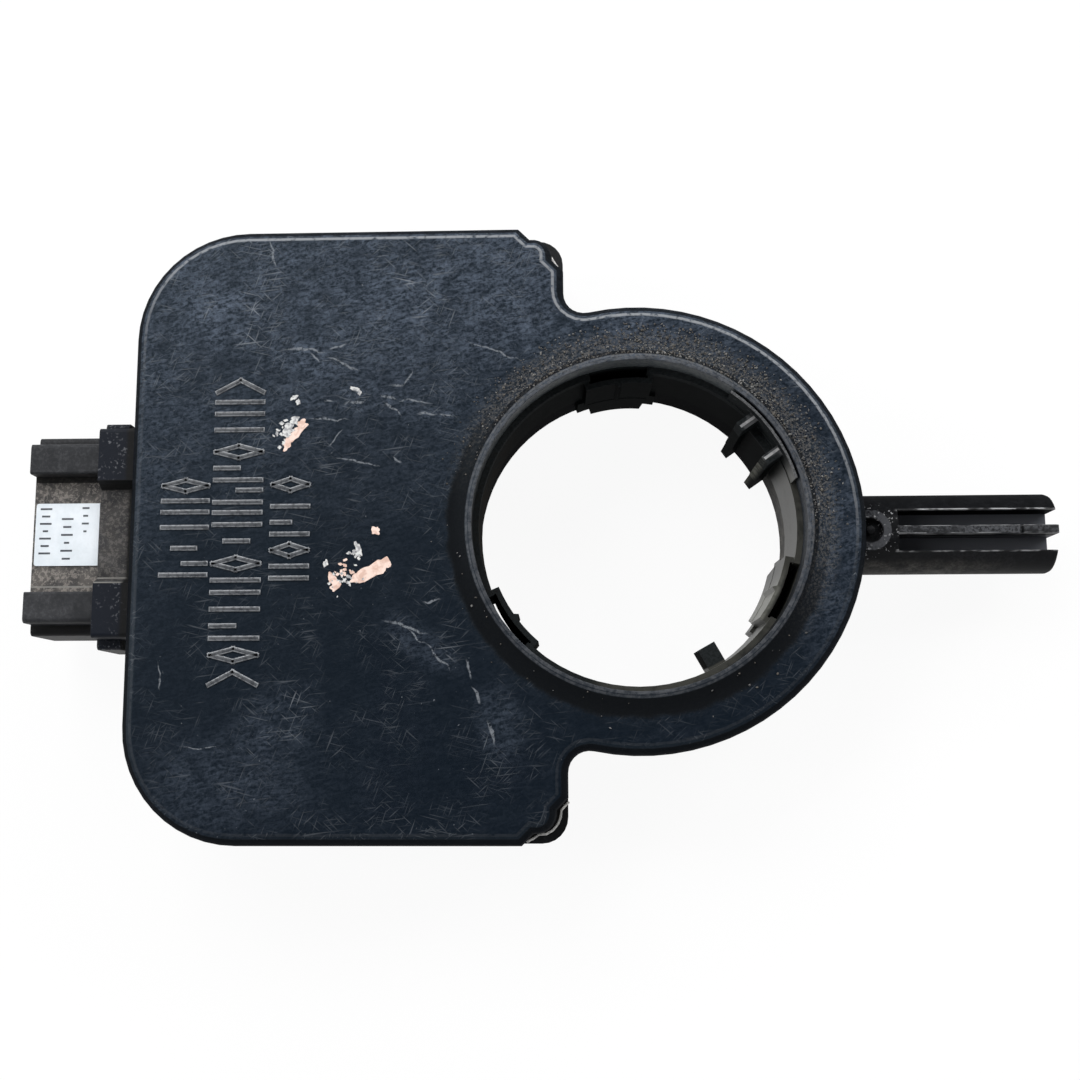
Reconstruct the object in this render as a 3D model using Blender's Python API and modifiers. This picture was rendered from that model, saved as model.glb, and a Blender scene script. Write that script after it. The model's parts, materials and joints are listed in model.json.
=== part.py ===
# Steering angle sensor: a ring that a steering shaft passes through, on a flat sensor body.
# Inside, the shaft's rotor ring drives two small measuring gears of unlike tooth counts.
# Each gear carries a magnet below a field sensor on the circuit board.
#
# The model lies cover side up on its lower housing. Every shape is drawn with the shaft
# bore's axis as its origin, +X towards the guide arm and -X towards the connector.
# A parent empty then moves the whole so that the middle of its footprint is the origin.

import math

import bmesh
import bpy
from mathutils import Matrix

mm = 0.001

# Plan of the two shells, measured from the bore's axis
body_left = 63.0 * mm            # to the wall that carries the connector
body_right = 8.8 * mm            # to the wall beside the ring
shoulder = 10.5 * mm             # from the ring's side out to the body's
left_corner_radius = 14.2 * mm
right_corner_radius = 3.2 * mm   # lower housing only
gear_room = 0.95 * mm            # between the rotor's teeth and the ring's wall
neck_fillet = 2.6 * mm

# The cover's right-hand corners are cut at 45 degrees, with a round boss in the cut
cover_chamfer = 5.6 * mm
corner_boss_radius = 2.5 * mm
corner_boss_depth = 1.55 * mm    # its centre lies this far behind the cut
corner_web = 2.4 * mm            # material behind the cut

# Heights of the shells
floor_thickness = 2.0 * mm
parting_drop = 0.5 * mm          # of the lower housing's wall below the circuit board
cover_plate = 2.0 * mm
cover_wall = 1.1 * mm
cover_edge_fillet = 1.8 * mm
tongue_thickness = 0.75 * mm
tongue_height = 2.1 * mm
foot_chamfer = 0.8 * mm

# Clearances
seat_gap = 0.3 * mm              # between pieces that touch or slide
bite = 0.4 * mm                  # how far joined shapes run into each other
air_gap = 0.5 * mm               # magnet to field sensor

# Shaft bore in the cover, with a raised lip round it
cover_bore_radius = 20.3 * mm
lip_width = 0.7 * mm
lip_height = 1.5 * mm
lip_flank = 1.9 * mm             # width of the slope outside the lip
lip_crown = 0.25 * mm            # width of the lip's flat top
lip_crown_drop = 0.2 * mm        # from there to the lip's outer edge
sleeve_thickness = 1.0 * mm      # tube under the cover that guides the rotor
sleeve_reach = 5.0 * mm          # below the cover's plate

# Shaft collar of the lower housing, which the rotor runs on
collar_bore_step = 0.2 * mm      # its bore is this much smaller in radius than the cover's
collar_thickness = 1.2 * mm
collar_height = 6.8 * mm

# Rotor
rotor_bore_step = 0.7 * mm       # its bore is this much smaller in radius than the cover's
rotor_outside_step = 0.2 * mm    # its tube's outside beyond the collar's
rotor_skirt_wall = 1.3 * mm
rotor_skirt_depth = 2.1 * mm     # how far it reaches down outside the collar
key_angle = math.radians(34.8)   # direction of the key slot, from +X
key_lug_sweep = math.radians(39)
key_lug_clearance = 0.2 * mm     # below the top of the lip
key_lug_set_back = 0.1 * mm      # from the rotor's bore
key_rib_thickness = 1.3 * mm
key_rib_spacing = 5.2 * mm
key_rib_length = 2.4 * mm        # from the bore's wall inwards
key_rib_drop = 1.5 * mm          # below the top of the lug
clip_count = 3
clip_angle = math.radians(-24.2)
clip_sweep = math.radians(26)
clip_foot_sweep = math.radians(2)
clip_stand = 1.0 * mm            # from the bore's wall to a clip's inner face
clip_thickness = 0.7 * mm
clip_slot = 1.2 * mm             # free space behind a clip
clip_slot_short = math.radians(1)    # the slot stops short of the feet
clip_drop = 1.2 * mm             # below the rotor's top
clip_bump = 0.5 * mm
clip_bump_sweep = math.radians(2.4)
finger_angle = math.radians(-60.8)
finger_width = 2.3 * mm
finger_length = 2.8 * mm         # from the bore's wall inwards
finger_height = 5.5 * mm

# Gearing
pressure_angle = math.radians(20)
backlash = 0.15 * mm
rotor_teeth = 60
rotor_gear_width = 4.0 * mm
dedendum = 1.25                  # depth of a tooth below the pitch circle, in modules
gear_root_step = 0.1 * mm        # from the rotor's skirt up to the teeth's root
gear_side_step = 0.05 * mm       # of the teeth's sides behind the skirt's
measuring_teeth = (23, 25)
measuring_angles = (math.radians(150), math.radians(210))
measuring_gear_width = 3.6 * mm
gear_step_up = 0.1 * mm          # of the measuring gears above the rotor's teeth
spindle_radius = 1.6 * mm
spindle_foot_radius = 3.2 * mm
spindle_reach = 1.7 * mm         # into the gear
gear_web = 0.6 * mm
magnet_radius = 3.0 * mm
magnet_height = 1.5 * mm
magnet_sink = 0.7 * mm           # into the gear
magnet_cup_wall = 0.9 * mm

# Circuit board and what it carries
board_thickness = 1.6 * mm
board_top_space = 2.0 * mm       # between the board and the cover's plate
board_edge_gap = 0.4 * mm
left_post_inset = (11.0 * mm, 9.9 * mm)    # of the stakes that hold it, from the outside
right_post_inset = (9.2 * mm, 9.4 * mm)
post_radius = 2.2 * mm
stake_radius = 1.1 * mm
stake_head_radius = 1.9 * mm
stake_head_height = 0.8 * mm
stake_crown_radius = 1.3 * mm
chip_height = 1.2 * mm
chip_stand_off = 0.1 * mm        # of the body above its leads' feet
chip_edge = 0.15 * mm
lead_thickness = 0.25 * mm
lead_reach = 0.8 * mm
field_sensor_size = (5.0 * mm, 4.0 * mm)
field_sensor_height = 1.0 * mm
field_sensor_lead_count = 4

# On top of the board: length and width, leads along each side, place
chips = {
    "microcontroller": ((9.0 * mm, 6.6 * mm), 10, (-45.0 * mm, 0)),
    "bus_transceiver": ((4.9 * mm, 3.9 * mm), 4, (-51.0 * mm, 15.0 * mm)),
    "voltage_regulator": ((4.9 * mm, 3.9 * mm), 3, (-51.0 * mm, -15.0 * mm))}
crystal_size = (3.2 * mm, 2.5 * mm, 0.8 * mm)
crystal_place = (-36.5 * mm, 0)
crystal_corner = 0.5 * mm
crystal_edge = 0.15 * mm
filter_size = (3.2 * mm, 2.5 * mm, 1.3 * mm)
bypass_size = (2.0 * mm, 1.25 * mm, 0.8 * mm)
capacitors = [(filter_size, (-43.0 * mm, 18.0 * mm)), (filter_size, (-43.0 * mm, -18.0 * mm)),
              (bypass_size, (-51.0 * mm, 8.0 * mm)), (bypass_size, (-51.0 * mm, -8.0 * mm))]
capacitor_cap = 0.45 * mm        # length of an end cap
capacitor_cap_proud = 0.06 * mm

# Connector header
shroud_length = 8.8 * mm         # from the collar to the mouth
socket_floor = 2.6 * mm          # from the body's wall
plug_half_width = 9.9 * mm
plug_low, plug_high = 5.0 * mm, 12.4 * mm
shroud_half_width = 12.8 * mm
shroud_low, shroud_high = 3.6 * mm, 13.0 * mm
wing_inner, wing_outer = 7.5 * mm, 11.4 * mm
wing_top = 16.0 * mm
label_floor = 13.7 * mm
header_collar_reach = 4.8 * mm   # from the body's wall
header_collar_half_width = 13.3 * mm
header_collar_top = 16.3 * mm
header_collar_recess = (5.7 * mm, 1.7 * mm, 0.8 * mm)    # half width, depth, slope
header_edge = 0.6 * mm           # rounding of its long edges
flange_reach = 5.0 * mm          # from the body's wall
flange_thickness = 3.0 * mm
flange_half_width = 14.6 * mm
flange_low = 3.0 * mm
neck_half_width = 12.0 * mm
neck_low = 4.0 * mm
neck_reach = 0.9 * mm            # into the housing, past the wall
terminal_count = 8
terminal_pitch = 2.2 * mm
terminal_size = 0.64 * mm
terminal_bend = 0.8 * mm         # inner radius of the bend
terminal_taper = 0.6 * mm        # length of the pointed tip
terminal_tip_depth = 5.2 * mm    # the tips stay this far behind the mouth
terminal_leg_inset = 2.9 * mm    # from the inside of the wall to the leg
terminal_tail = 0.7 * mm         # above the board
label_width = 8.0 * mm
label_thickness = 0.12 * mm
label_gap = 0.05 * mm            # glue under the label

# Guide arm
arm_length = 25.1 * mm           # from the ring's wall
arm_radius = 5.1 * mm
arm_height = 7.5 * mm            # of its axis
arm_groove_inset = 5.1 * mm      # from the ring's wall
arm_groove_outer = 2.6 * mm
arm_rib_half = 0.5 * mm
arm_web = 1.2 * mm
arm_web_short = 0.3 * mm         # the web stops before the lobes
arm_end_fillet = 0.6 * mm
arm_notch = (20.1 * mm, 0.5 * mm, 1.0 * mm)    # from the ring's wall, width, depth
arm_boss_offset = 1.6 * mm       # from the ring's wall
arm_boss_radius = 2.7 * mm
arm_boss_drop = 0.4 * mm         # of its top below the housing's wall
arm_boss_hole = 1.5 * mm
arm_boss_hole_depth = 0.8 * mm
arm_boss_nub = 0.5 * mm

# Worked out from the values above, from the bore outwards
housing_wall = cover_wall + seat_gap + tongue_thickness
collar_bore_radius = cover_bore_radius - collar_bore_step
rotor_bore_radius = cover_bore_radius - rotor_bore_step
rotor_radius = collar_bore_radius + collar_thickness + rotor_outside_step
key_rib_reach = rotor_bore_radius - key_rib_length
finger_reach = rotor_bore_radius - finger_length
clip_inner_radius = rotor_bore_radius - clip_stand
skirt_inner = collar_bore_radius + collar_thickness + seat_gap
skirt_radius = skirt_inner + rotor_skirt_wall
module = (skirt_radius + gear_root_step) / (rotor_teeth / 2 - dedendum)
rotor_pitch_radius = module * rotor_teeth / 2
ring_radius = rotor_pitch_radius + module + gear_room + housing_wall
body_half_width = ring_radius + shoulder
header_collar_start = body_left + header_collar_reach
plug_end = header_collar_start + shroud_length
header_end = body_left - housing_wall - neck_reach
terminal_leg = -(body_left - housing_wall - terminal_leg_inset)
arm_end = ring_radius + arm_length
post_places = [(x, side * (body_half_width - inset))
               for x, inset in ((left_post_inset[0] - body_left, left_post_inset[1]),
                                (-body_right - right_post_inset[0], right_post_inset[1]))
               for side in (1, -1)]

# and from the floor upwards
rotor_bottom = collar_height + seat_gap
gear_bottom = rotor_bottom + gear_step_up
gear_top = gear_bottom + measuring_gear_width
magnet_bottom = gear_top - magnet_sink
magnet_top = magnet_bottom + magnet_height
board_bottom = magnet_top + air_gap + field_sensor_height + seat_gap
parting_height = board_bottom - parting_drop
cover_bottom = parting_height + seat_gap
board_top = board_bottom + board_thickness
cover_inside = board_top + board_top_space
rotor_top = cover_inside - seat_gap
body_height = cover_inside + cover_plate
lip_top = body_height + lip_height
terminal_height = (plug_low + plug_high) / 2
circle_steps = 72


def clear_scene():
    for item in list(bpy.data.objects):
        bpy.data.objects.remove(item, do_unlink=True)


def add_collection(name):
    collection = bpy.data.collections.new(name)
    bpy.context.scene.collection.children.link(collection)
    return collection


def add_material(name, colour, roughness, metallic=0.0):
    material = bpy.data.materials.new(name)
    material.use_nodes = True
    shader = material.node_tree.nodes["Principled BSDF"]
    shader.inputs["Base Color"].default_value = (*colour, 1.0)
    shader.inputs["Roughness"].default_value = roughness
    shader.inputs["Metallic"].default_value = metallic
    material.diffuse_color = (*colour, 1.0)
    return material


clear_scene()
parts = add_collection("steering_angle_sensor")
cutters = add_collection("cutters")
frame = bpy.data.objects.new("sensor_frame", None)
frame.location.x = (plug_end - arm_end) / 2
parts.objects.link(frame)


def add_object(name, mesh, collection=None):
    item = bpy.data.objects.new(name, mesh)
    (collection or cutters).objects.link(item)
    item.parent = frame
    return item


def finish(item, name, material):
    """Make a shape into a named part of the sensor."""
    item.name = name
    item.data.name = name
    item.data.materials.clear()
    item.data.materials.append(material)
    for polygon in item.data.polygons:
        polygon.use_smooth = True
    item.data.set_sharp_from_angle(angle=math.radians(30))
    if item.name not in parts.objects:
        cutters.objects.unlink(item)
        parts.objects.link(item)
    return item


def combine(target, tool, operation="UNION"):
    """Join a shape to the target, or cut it out, and keep it as a guide."""
    modifier = target.modifiers.new(f"{operation.lower()}_{tool.name}", "BOOLEAN")
    modifier.operation = operation
    modifier.solver = "EXACT"
    modifier.object = tool
    tool.hide_render = True
    tool.display_type = "WIRE"


def wrapped(angle):
    return (angle + math.pi) % (2 * math.pi) - math.pi


def arc(centre, radius, start, end, step=math.radians(5)):
    count = max(2, math.ceil(abs(end - start) / step))
    angles = [start + (end - start) * i / count for i in range(count + 1)]
    return [(centre[0] + radius * math.cos(a), centre[1] + radius * math.sin(a)) for a in angles]


def rounded_outline(corners):
    """Close a polygon whose corners are (x, y, radius)."""
    points = []
    for index, (x, y, radius) in enumerate(corners):
        before, after = corners[index - 1], corners[(index + 1) % len(corners)]
        if not radius:
            points.append((x, y))
            continue
        back = math.atan2(before[1] - y, before[0] - x)
        turn = wrapped(math.atan2(after[1] - y, after[0] - x) - back)
        reach = radius / math.sin(abs(turn) / 2)
        middle = back + turn / 2
        centre = (x + reach * math.cos(middle), y + reach * math.sin(middle))
        start = back - math.copysign(math.pi / 2, turn)
        sweep = math.copysign(math.pi, turn) - turn
        points += arc(centre, radius, start, start - sweep, math.radians(22.5))
    return points


def plate(name, loops, low, high):
    """A flat outline, with any holes, as a closed mesh between two heights."""
    curve = bpy.data.curves.new(name, "CURVE")
    curve.dimensions = "2D"
    curve.fill_mode = "BOTH"
    curve.extrude = (high - low) / 2
    for loop in loops:
        spline = curve.splines.new("POLY")
        spline.points.add(len(loop) - 1)
        for point, (x, y) in zip(spline.points, loop):
            point.co = (x, y, 0, 1)
        spline.use_cyclic_u = True
    drawn = bpy.data.objects.new(name, curve)
    drawn.location.z = (low + high) / 2
    cutters.objects.link(drawn)
    bpy.context.view_layer.update()
    evaluated = drawn.evaluated_get(bpy.context.evaluated_depsgraph_get())
    mesh = bpy.data.meshes.new_from_object(evaluated)
    mesh.transform(drawn.matrix_world)
    bpy.data.objects.remove(drawn)
    bpy.data.curves.remove(curve)
    shape = bmesh.new()
    shape.from_mesh(mesh)
    bmesh.ops.remove_doubles(shape, verts=shape.verts, dist=1e-6)
    bmesh.ops.dissolve_limit(shape, angle_limit=1e-3, verts=shape.verts, edges=shape.edges)
    bmesh.ops.recalc_face_normals(shape, faces=shape.faces)
    shape.to_mesh(mesh)
    shape.free()
    return add_object(name, mesh)


def profile_along_x(name, loops, start, end):
    """An outline in (y, z), drawn out along X between two distances on the connector side."""
    item = plate(name, loops, -start, -end)
    turn = Matrix(((0, 0, 1, 0), (1, 0, 0, 0), (0, 1, 0, 0), (0, 0, 0, 1)))
    item.data.transform(turn)
    return item


def turned(name, profile, steps=circle_steps):
    """A ring about the Z axis. Its profile (radius, z) runs down its outer side."""
    count = len(profile)
    mesh = bpy.data.meshes.new(name)
    edges = [(i, (i + 1) % count) for i in range(count)]
    mesh.from_pydata([(radius, 0, z) for radius, z in profile], edges, [])
    item = add_object(name, mesh)
    screw = item.modifiers.new("turn", "SCREW")
    screw.axis = "Z"
    screw.steps = screw.render_steps = steps
    screw.use_merge_vertices = True
    screw.merge_threshold = 1e-6
    return item


def cylinder(name, radius, low, high, place=(0, 0), steps=24):
    shape = bmesh.new()
    bmesh.ops.create_cone(shape, cap_ends=True, segments=steps, radius1=radius, radius2=radius,
                          depth=high - low)
    bmesh.ops.translate(shape, verts=shape.verts, vec=(*place, (low + high) / 2))
    mesh = bpy.data.meshes.new(name)
    shape.to_mesh(mesh)
    shape.free()
    return add_object(name, mesh)


def box(name, low, high):
    """A box between two opposite corners."""
    shape = bmesh.new()
    bmesh.ops.create_cube(shape, size=1.0)
    size = [h - l for l, h in zip(low, high)]
    middle = [(l + h) / 2 for l, h in zip(low, high)]
    bmesh.ops.scale(shape, verts=shape.verts, vec=size)
    bmesh.ops.translate(shape, verts=shape.verts, vec=middle)
    mesh = bpy.data.meshes.new(name)
    shape.to_mesh(mesh)
    shape.free()
    return add_object(name, mesh)


def bevel_edges(item, chosen, width, segments=3):
    """Round the edges of a mesh for which chosen(edge) holds."""
    shape = bmesh.new()
    shape.from_mesh(item.data)
    edges = [edge for edge in shape.edges if chosen(edge)]
    bmesh.ops.bevel(shape, geom=edges, offset=width, segments=segments, profile=0.5,
                    affect="EDGES", clamp_overlap=False, material=-1)
    bmesh.ops.remove_doubles(shape, verts=shape.verts, dist=1e-6)
    shape.to_mesh(item.data)
    shape.free()


def at_height(z):
    return lambda edge: (all(abs(vert.co.z - z) < 1e-6 for vert in edge.verts)
                         and edge.calc_face_angle(0) > 0.5)


def corner_line(inset):
    """x + y along the slanted inner corner of a wall at this inset from the outside."""
    return (body_half_width - body_right - cover_chamfer
            - math.sqrt(2) * (corner_web + inset - cover_wall))


def shell_outline(inset, corner):
    """Outline of body and ring, moved inwards by inset. The corner beside the ring is
    "round" on the lower housing, "boss" on the cover and "cut" inside both."""
    ring = ring_radius - inset
    fillet = neck_fillet + inset
    edge_x = -(body_right + inset)
    half = body_half_width - inset
    left = -(body_left - inset)
    radius = left_corner_radius - inset
    fillet_x = edge_x + fillet
    fillet_y = math.sqrt((ring + fillet) ** 2 - fillet_x ** 2)
    meet = math.atan2(fillet_y, fillet_x)
    upper = arc((0, 0), ring, 0, meet)
    upper += arc((fillet_x, fillet_y), fillet, meet + math.pi, math.pi, math.radians(15))[1:]
    if corner == "round":
        radius_here = right_corner_radius - inset
        upper += arc((edge_x - radius_here, half - radius_here), radius_here, 0, math.pi / 2,
                     math.radians(15))
    elif corner == "boss":
        upper.append((edge_x, half - cover_chamfer))
        reach = cover_chamfer / 2 + corner_boss_depth / math.sqrt(2)
        spread = math.acos(corner_boss_depth / corner_boss_radius)
        upper += arc((edge_x - reach, half - reach), corner_boss_radius,
                     math.pi / 4 - spread, math.pi / 4 + spread, math.radians(15))
        upper.append((edge_x - cover_chamfer, half))
    else:
        line = corner_line(inset)
        upper += [(edge_x, line - edge_x), (line - half, half)]
    upper += arc((left + radius, half - radius), radius, math.pi / 2, math.pi,
                 math.radians(7.5))
    return upper + [(x, -y) for x, y in reversed(upper[1:])]


def gear_outline(teeth):
    """Involute teeth about the origin, with a tooth centred on +X."""
    pitch = module * teeth / 2
    base = pitch * math.cos(pressure_angle)
    root, tip = pitch - dedendum * module, pitch + module

    def involute(angle):
        return math.tan(angle) - angle

    def half_tooth(radius):
        angle = math.acos(min(1.0, base / radius))
        return (math.pi / (2 * teeth) + involute(pressure_angle) - involute(angle)
                - backlash / (4 * pitch))

    radii = [root] + ([base] if base > root else []) + [pitch, tip]
    flank = [(radius, half_tooth(radius)) for radius in radii]
    points = []
    for tooth in range(teeth):
        middle = 2 * math.pi * tooth / teeth
        for side, steps in ((-1, flank), (1, reversed(flank))):
            points += [(radius * math.cos(middle + side * half), radius * math.sin(middle + side * half))
                       for radius, half in steps]
    return points


def circle(radius, steps=circle_steps, centre=(0, 0)):
    return arc(centre, radius, 0, 2 * math.pi, 2 * math.pi / steps)[:-1]


def arc_band(inner, outer, middle, sweep):
    start, end = middle - sweep / 2, middle + sweep / 2
    return arc((0, 0), outer, start, end) + arc((0, 0), inner, end, start)


def make_cover(material):
    cover = plate("upper_cover", [shell_outline(0, "boss")], cover_bottom, body_height)
    bevel_edges(cover, at_height(body_height), cover_edge_fillet)
    cavity = plate("cover_cavity", [shell_outline(cover_wall, "cut")],
                   cover_bottom - bite, cover_inside)
    combine(cover, cavity, "DIFFERENCE")
    foot_radius = cover_bore_radius + lip_width + lip_flank
    lip = turned("cover_lip", [
        (cover_bore_radius - bite, lip_top),
        (cover_bore_radius + lip_crown, lip_top),
        (cover_bore_radius + lip_width, lip_top - lip_crown_drop),
        (foot_radius, body_height),
        (foot_radius, body_height - bite),
        (cover_bore_radius - bite, body_height - bite)])
    combine(cover, lip)
    sleeve_inner = rotor_radius + seat_gap
    sleeve = turned("cover_sleeve", [
        (sleeve_inner, cover_inside + bite),
        (sleeve_inner + sleeve_thickness, cover_inside + bite),
        (sleeve_inner + sleeve_thickness, cover_inside - sleeve_reach),
        (sleeve_inner, cover_inside - sleeve_reach)])
    combine(cover, sleeve)
    bore = cylinder("cover_bore", cover_bore_radius, cover_inside - bite, lip_top + bite,
                    steps=circle_steps)
    combine(cover, bore, "DIFFERENCE")
    return finish(cover, "upper_cover", material)


def add_posts(housing):
    """Spindles for the measuring gears and stakes that hold the circuit board."""
    for index, (x, y) in enumerate(gear_places):
        foot = cylinder(f"spindle_foot_{index + 1}", spindle_foot_radius,
                        floor_thickness - bite, gear_bottom - seat_gap, (x, y), steps=16)
        pin = cylinder(f"spindle_{index + 1}", spindle_radius, floor_thickness - bite,
                       gear_bottom + spindle_reach, (x, y), steps=16)
        combine(housing, foot)
        combine(housing, pin)
    for index, (x, y) in enumerate(post_places):
        post = turned(f"board_post_{index + 1}", [
            (0, board_top + seat_gap + stake_head_height),
            (stake_crown_radius, board_top + seat_gap + stake_head_height),
            (stake_head_radius, board_top + seat_gap),
            (stake_radius, board_top + seat_gap),
            (stake_radius, board_bottom - seat_gap),
            (post_radius, board_bottom - seat_gap),
            (post_radius, floor_thickness - bite),
            (0, floor_thickness - bite)], steps=12)
        post.location = (x, y, 0)
        combine(housing, post)


def make_arm():
    """Guide arm: a round rod with two long grooves above and below its web."""
    arm = cylinder("arm_rod", arm_radius, 0, arm_end - (ring_radius - bite), steps=36)
    at_end = arm_end - (ring_radius - bite)
    bevel_edges(arm, at_height(at_end), arm_end_fillet, 2)
    turn = Matrix(((0, 0, 1, ring_radius - bite), (0, 1, 0, 0), (-1, 0, 0, arm_height),
                   (0, 0, 0, 1)))
    arm.data.transform(turn)
    for level, (low, high) in enumerate(((arm_web / 2, arm_radius + bite),
                                         (-arm_radius - bite, -arm_web / 2))):
        for side in (1, -1):
            ends = sorted((side * arm_rib_half, side * arm_groove_outer))
            groove = box(f"arm_groove_{level}_{side}",
                         (ring_radius + arm_groove_inset, ends[0], arm_height + low),
                         (arm_end + bite, ends[1], arm_height + high))
            combine(arm, groove, "DIFFERENCE")
    for side in (1, -1):
        ends = sorted((side * arm_rib_half, side * arm_groove_outer))
        mouth = box(f"arm_mouth_{side}", (arm_end - arm_web_short, ends[0], arm_height - arm_web),
                    (arm_end + bite, ends[1], arm_height + arm_web))
        combine(arm, mouth, "DIFFERENCE")
    notch_inset, notch_width, notch_depth = arm_notch
    notch_x = ring_radius + notch_inset
    notch = box("arm_notch", (notch_x, -arm_rib_half - bite, arm_height + arm_radius - notch_depth),
                (notch_x + notch_width, arm_rib_half + bite, arm_height + arm_radius + bite))
    combine(arm, notch, "DIFFERENCE")
    boss_x = ring_radius + arm_boss_offset
    boss_top = parting_height - arm_boss_drop
    boss = cylinder("arm_boss", arm_boss_radius, arm_height, boss_top, (boss_x, 0))
    combine(arm, boss)
    hole = turned("arm_boss_hole", [
        (arm_boss_nub, boss_top + bite), (arm_boss_hole, boss_top + bite),
        (arm_boss_hole, boss_top - arm_boss_hole_depth), (arm_boss_nub, boss_top - arm_boss_hole_depth)],
        steps=20)
    hole.location = (boss_x, 0, 0)
    combine(arm, hole, "DIFFERENCE")
    return arm


def make_lower_housing(material):
    housing = plate("lower_housing", [shell_outline(0, "round")], 0, parting_height)
    bevel_edges(housing, at_height(0), foot_chamfer, 1)
    cavity = plate("housing_cavity", [shell_outline(housing_wall, "cut")],
                   floor_thickness, parting_height + bite)
    combine(housing, cavity, "DIFFERENCE")
    tongue = plate("housing_tongue", [shell_outline(cover_wall + seat_gap, "cut"),
                                      shell_outline(housing_wall, "cut")],
                   parting_height - bite, parting_height + tongue_height)
    combine(housing, tongue)
    collar_radius = collar_bore_radius + collar_thickness
    collar = turned("shaft_collar", [
        (collar_bore_radius - bite, collar_height), (collar_radius, collar_height),
        (collar_radius, floor_thickness - bite),
        (collar_bore_radius - bite, floor_thickness - bite)])
    combine(housing, collar)
    bore = cylinder("housing_bore", collar_bore_radius, -bite, collar_height + bite,
                    steps=circle_steps)
    bore.rotation_euler.z = math.pi / circle_steps    # its corners miss the collar's
    combine(housing, bore, "DIFFERENCE")
    add_posts(housing)
    combine(housing, make_arm())
    throat = box("header_throat", (-body_left - bite, -neck_half_width - seat_gap,
                                   neck_low - seat_gap),
                 (-body_left + housing_wall + bite, neck_half_width + seat_gap,
                  parting_height + tongue_height + bite))
    combine(housing, throat, "DIFFERENCE")
    return finish(housing, "lower_housing", material)


def clip_outline(middle):
    """One spring clip: a bar that stands on two feet, with a small bump at mid-width."""
    half = clip_sweep / 2
    outer = clip_inner_radius + clip_thickness
    foot = rotor_bore_radius + bite
    bump = clip_bump_sweep / 2
    points = arc((0, 0), clip_inner_radius, -half, -bump)
    points.append((clip_inner_radius - clip_bump, 0))
    points += arc((0, 0), clip_inner_radius, bump, half)
    points += arc((0, 0), foot, half, half - clip_foot_sweep)
    points += arc((0, 0), outer, half - clip_foot_sweep, clip_foot_sweep - half)
    points += arc((0, 0), foot, clip_foot_sweep - half, -half)
    cos, sin = math.cos(middle), math.sin(middle)
    return [(x * cos - y * sin, x * sin + y * cos) for x, y in points]


def rotated_box(name, low, high, angle):
    item = box(name, low, high)
    item.data.transform(Matrix.Rotation(angle, 4, "Z"))
    return item


def make_rotor(material):
    gear_high = rotor_bottom + rotor_gear_width
    rotor_low_end = rotor_bottom + seat_gap    # of the ribs and clips in the bore
    rotor = turned("rotor", [
        (rotor_bore_radius, rotor_top), (rotor_radius, rotor_top), (rotor_radius, gear_high),
        (skirt_radius, gear_high), (skirt_radius, rotor_bottom - rotor_skirt_depth),
        (skirt_inner, rotor_bottom - rotor_skirt_depth), (skirt_inner, rotor_bottom),
        (rotor_bore_radius, rotor_bottom)])
    teeth = plate("rotor_gear_ring", [gear_outline(rotor_teeth), circle(skirt_radius - bite)],
                  rotor_bottom + gear_side_step, gear_high - gear_side_step)
    combine(rotor, teeth)
    lug_top = lip_top - key_lug_clearance
    lug = plate("key_lug", [arc_band(rotor_bore_radius + key_lug_set_back,
                                     cover_bore_radius - seat_gap, key_angle, key_lug_sweep)],
                rotor_top - bite, lug_top)
    combine(rotor, lug)
    for side in (1, -1):
        middle = side * key_rib_spacing / 2
        rib = rotated_box(f"key_rib_{side}",
                          (key_rib_reach, middle - key_rib_thickness / 2, rotor_low_end),
                          (rotor_bore_radius + bite / 2, middle + key_rib_thickness / 2,
                           lug_top - key_rib_drop), key_angle)
        combine(rotor, rib)
    finger_top = rotor_top - clip_drop
    finger = rotated_box("finger", (finger_reach, -finger_width / 2, finger_top - finger_height),
                         (rotor_bore_radius + bite, finger_width / 2, finger_top), finger_angle)
    combine(rotor, finger)
    slot_inner = clip_inner_radius + clip_thickness
    for index in range(clip_count):
        middle = clip_angle + 2 * math.pi * index / clip_count
        slot = plate(f"clip_slot_{index + 1}",
                     [arc_band(slot_inner - bite, slot_inner + clip_slot, middle,
                               clip_sweep - 2 * clip_foot_sweep - clip_slot_short)],
                     rotor_bottom - bite, rotor_top + bite)
        combine(rotor, slot, "DIFFERENCE")
        clip = plate(f"clip_{index + 1}", [clip_outline(middle)], rotor_low_end,
                     rotor_top - clip_drop)
        combine(rotor, clip)
    return finish(rotor, "rotor", material)


def meshing_turn(teeth, direction):
    """Turn of a measuring gear at which its teeth stand in the rotor's gaps."""
    pitch = math.pi * module
    rotor_offset = -direction * rotor_pitch_radius + pitch / 2
    return direction + math.pi - rotor_offset / (module * teeth / 2)


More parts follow.
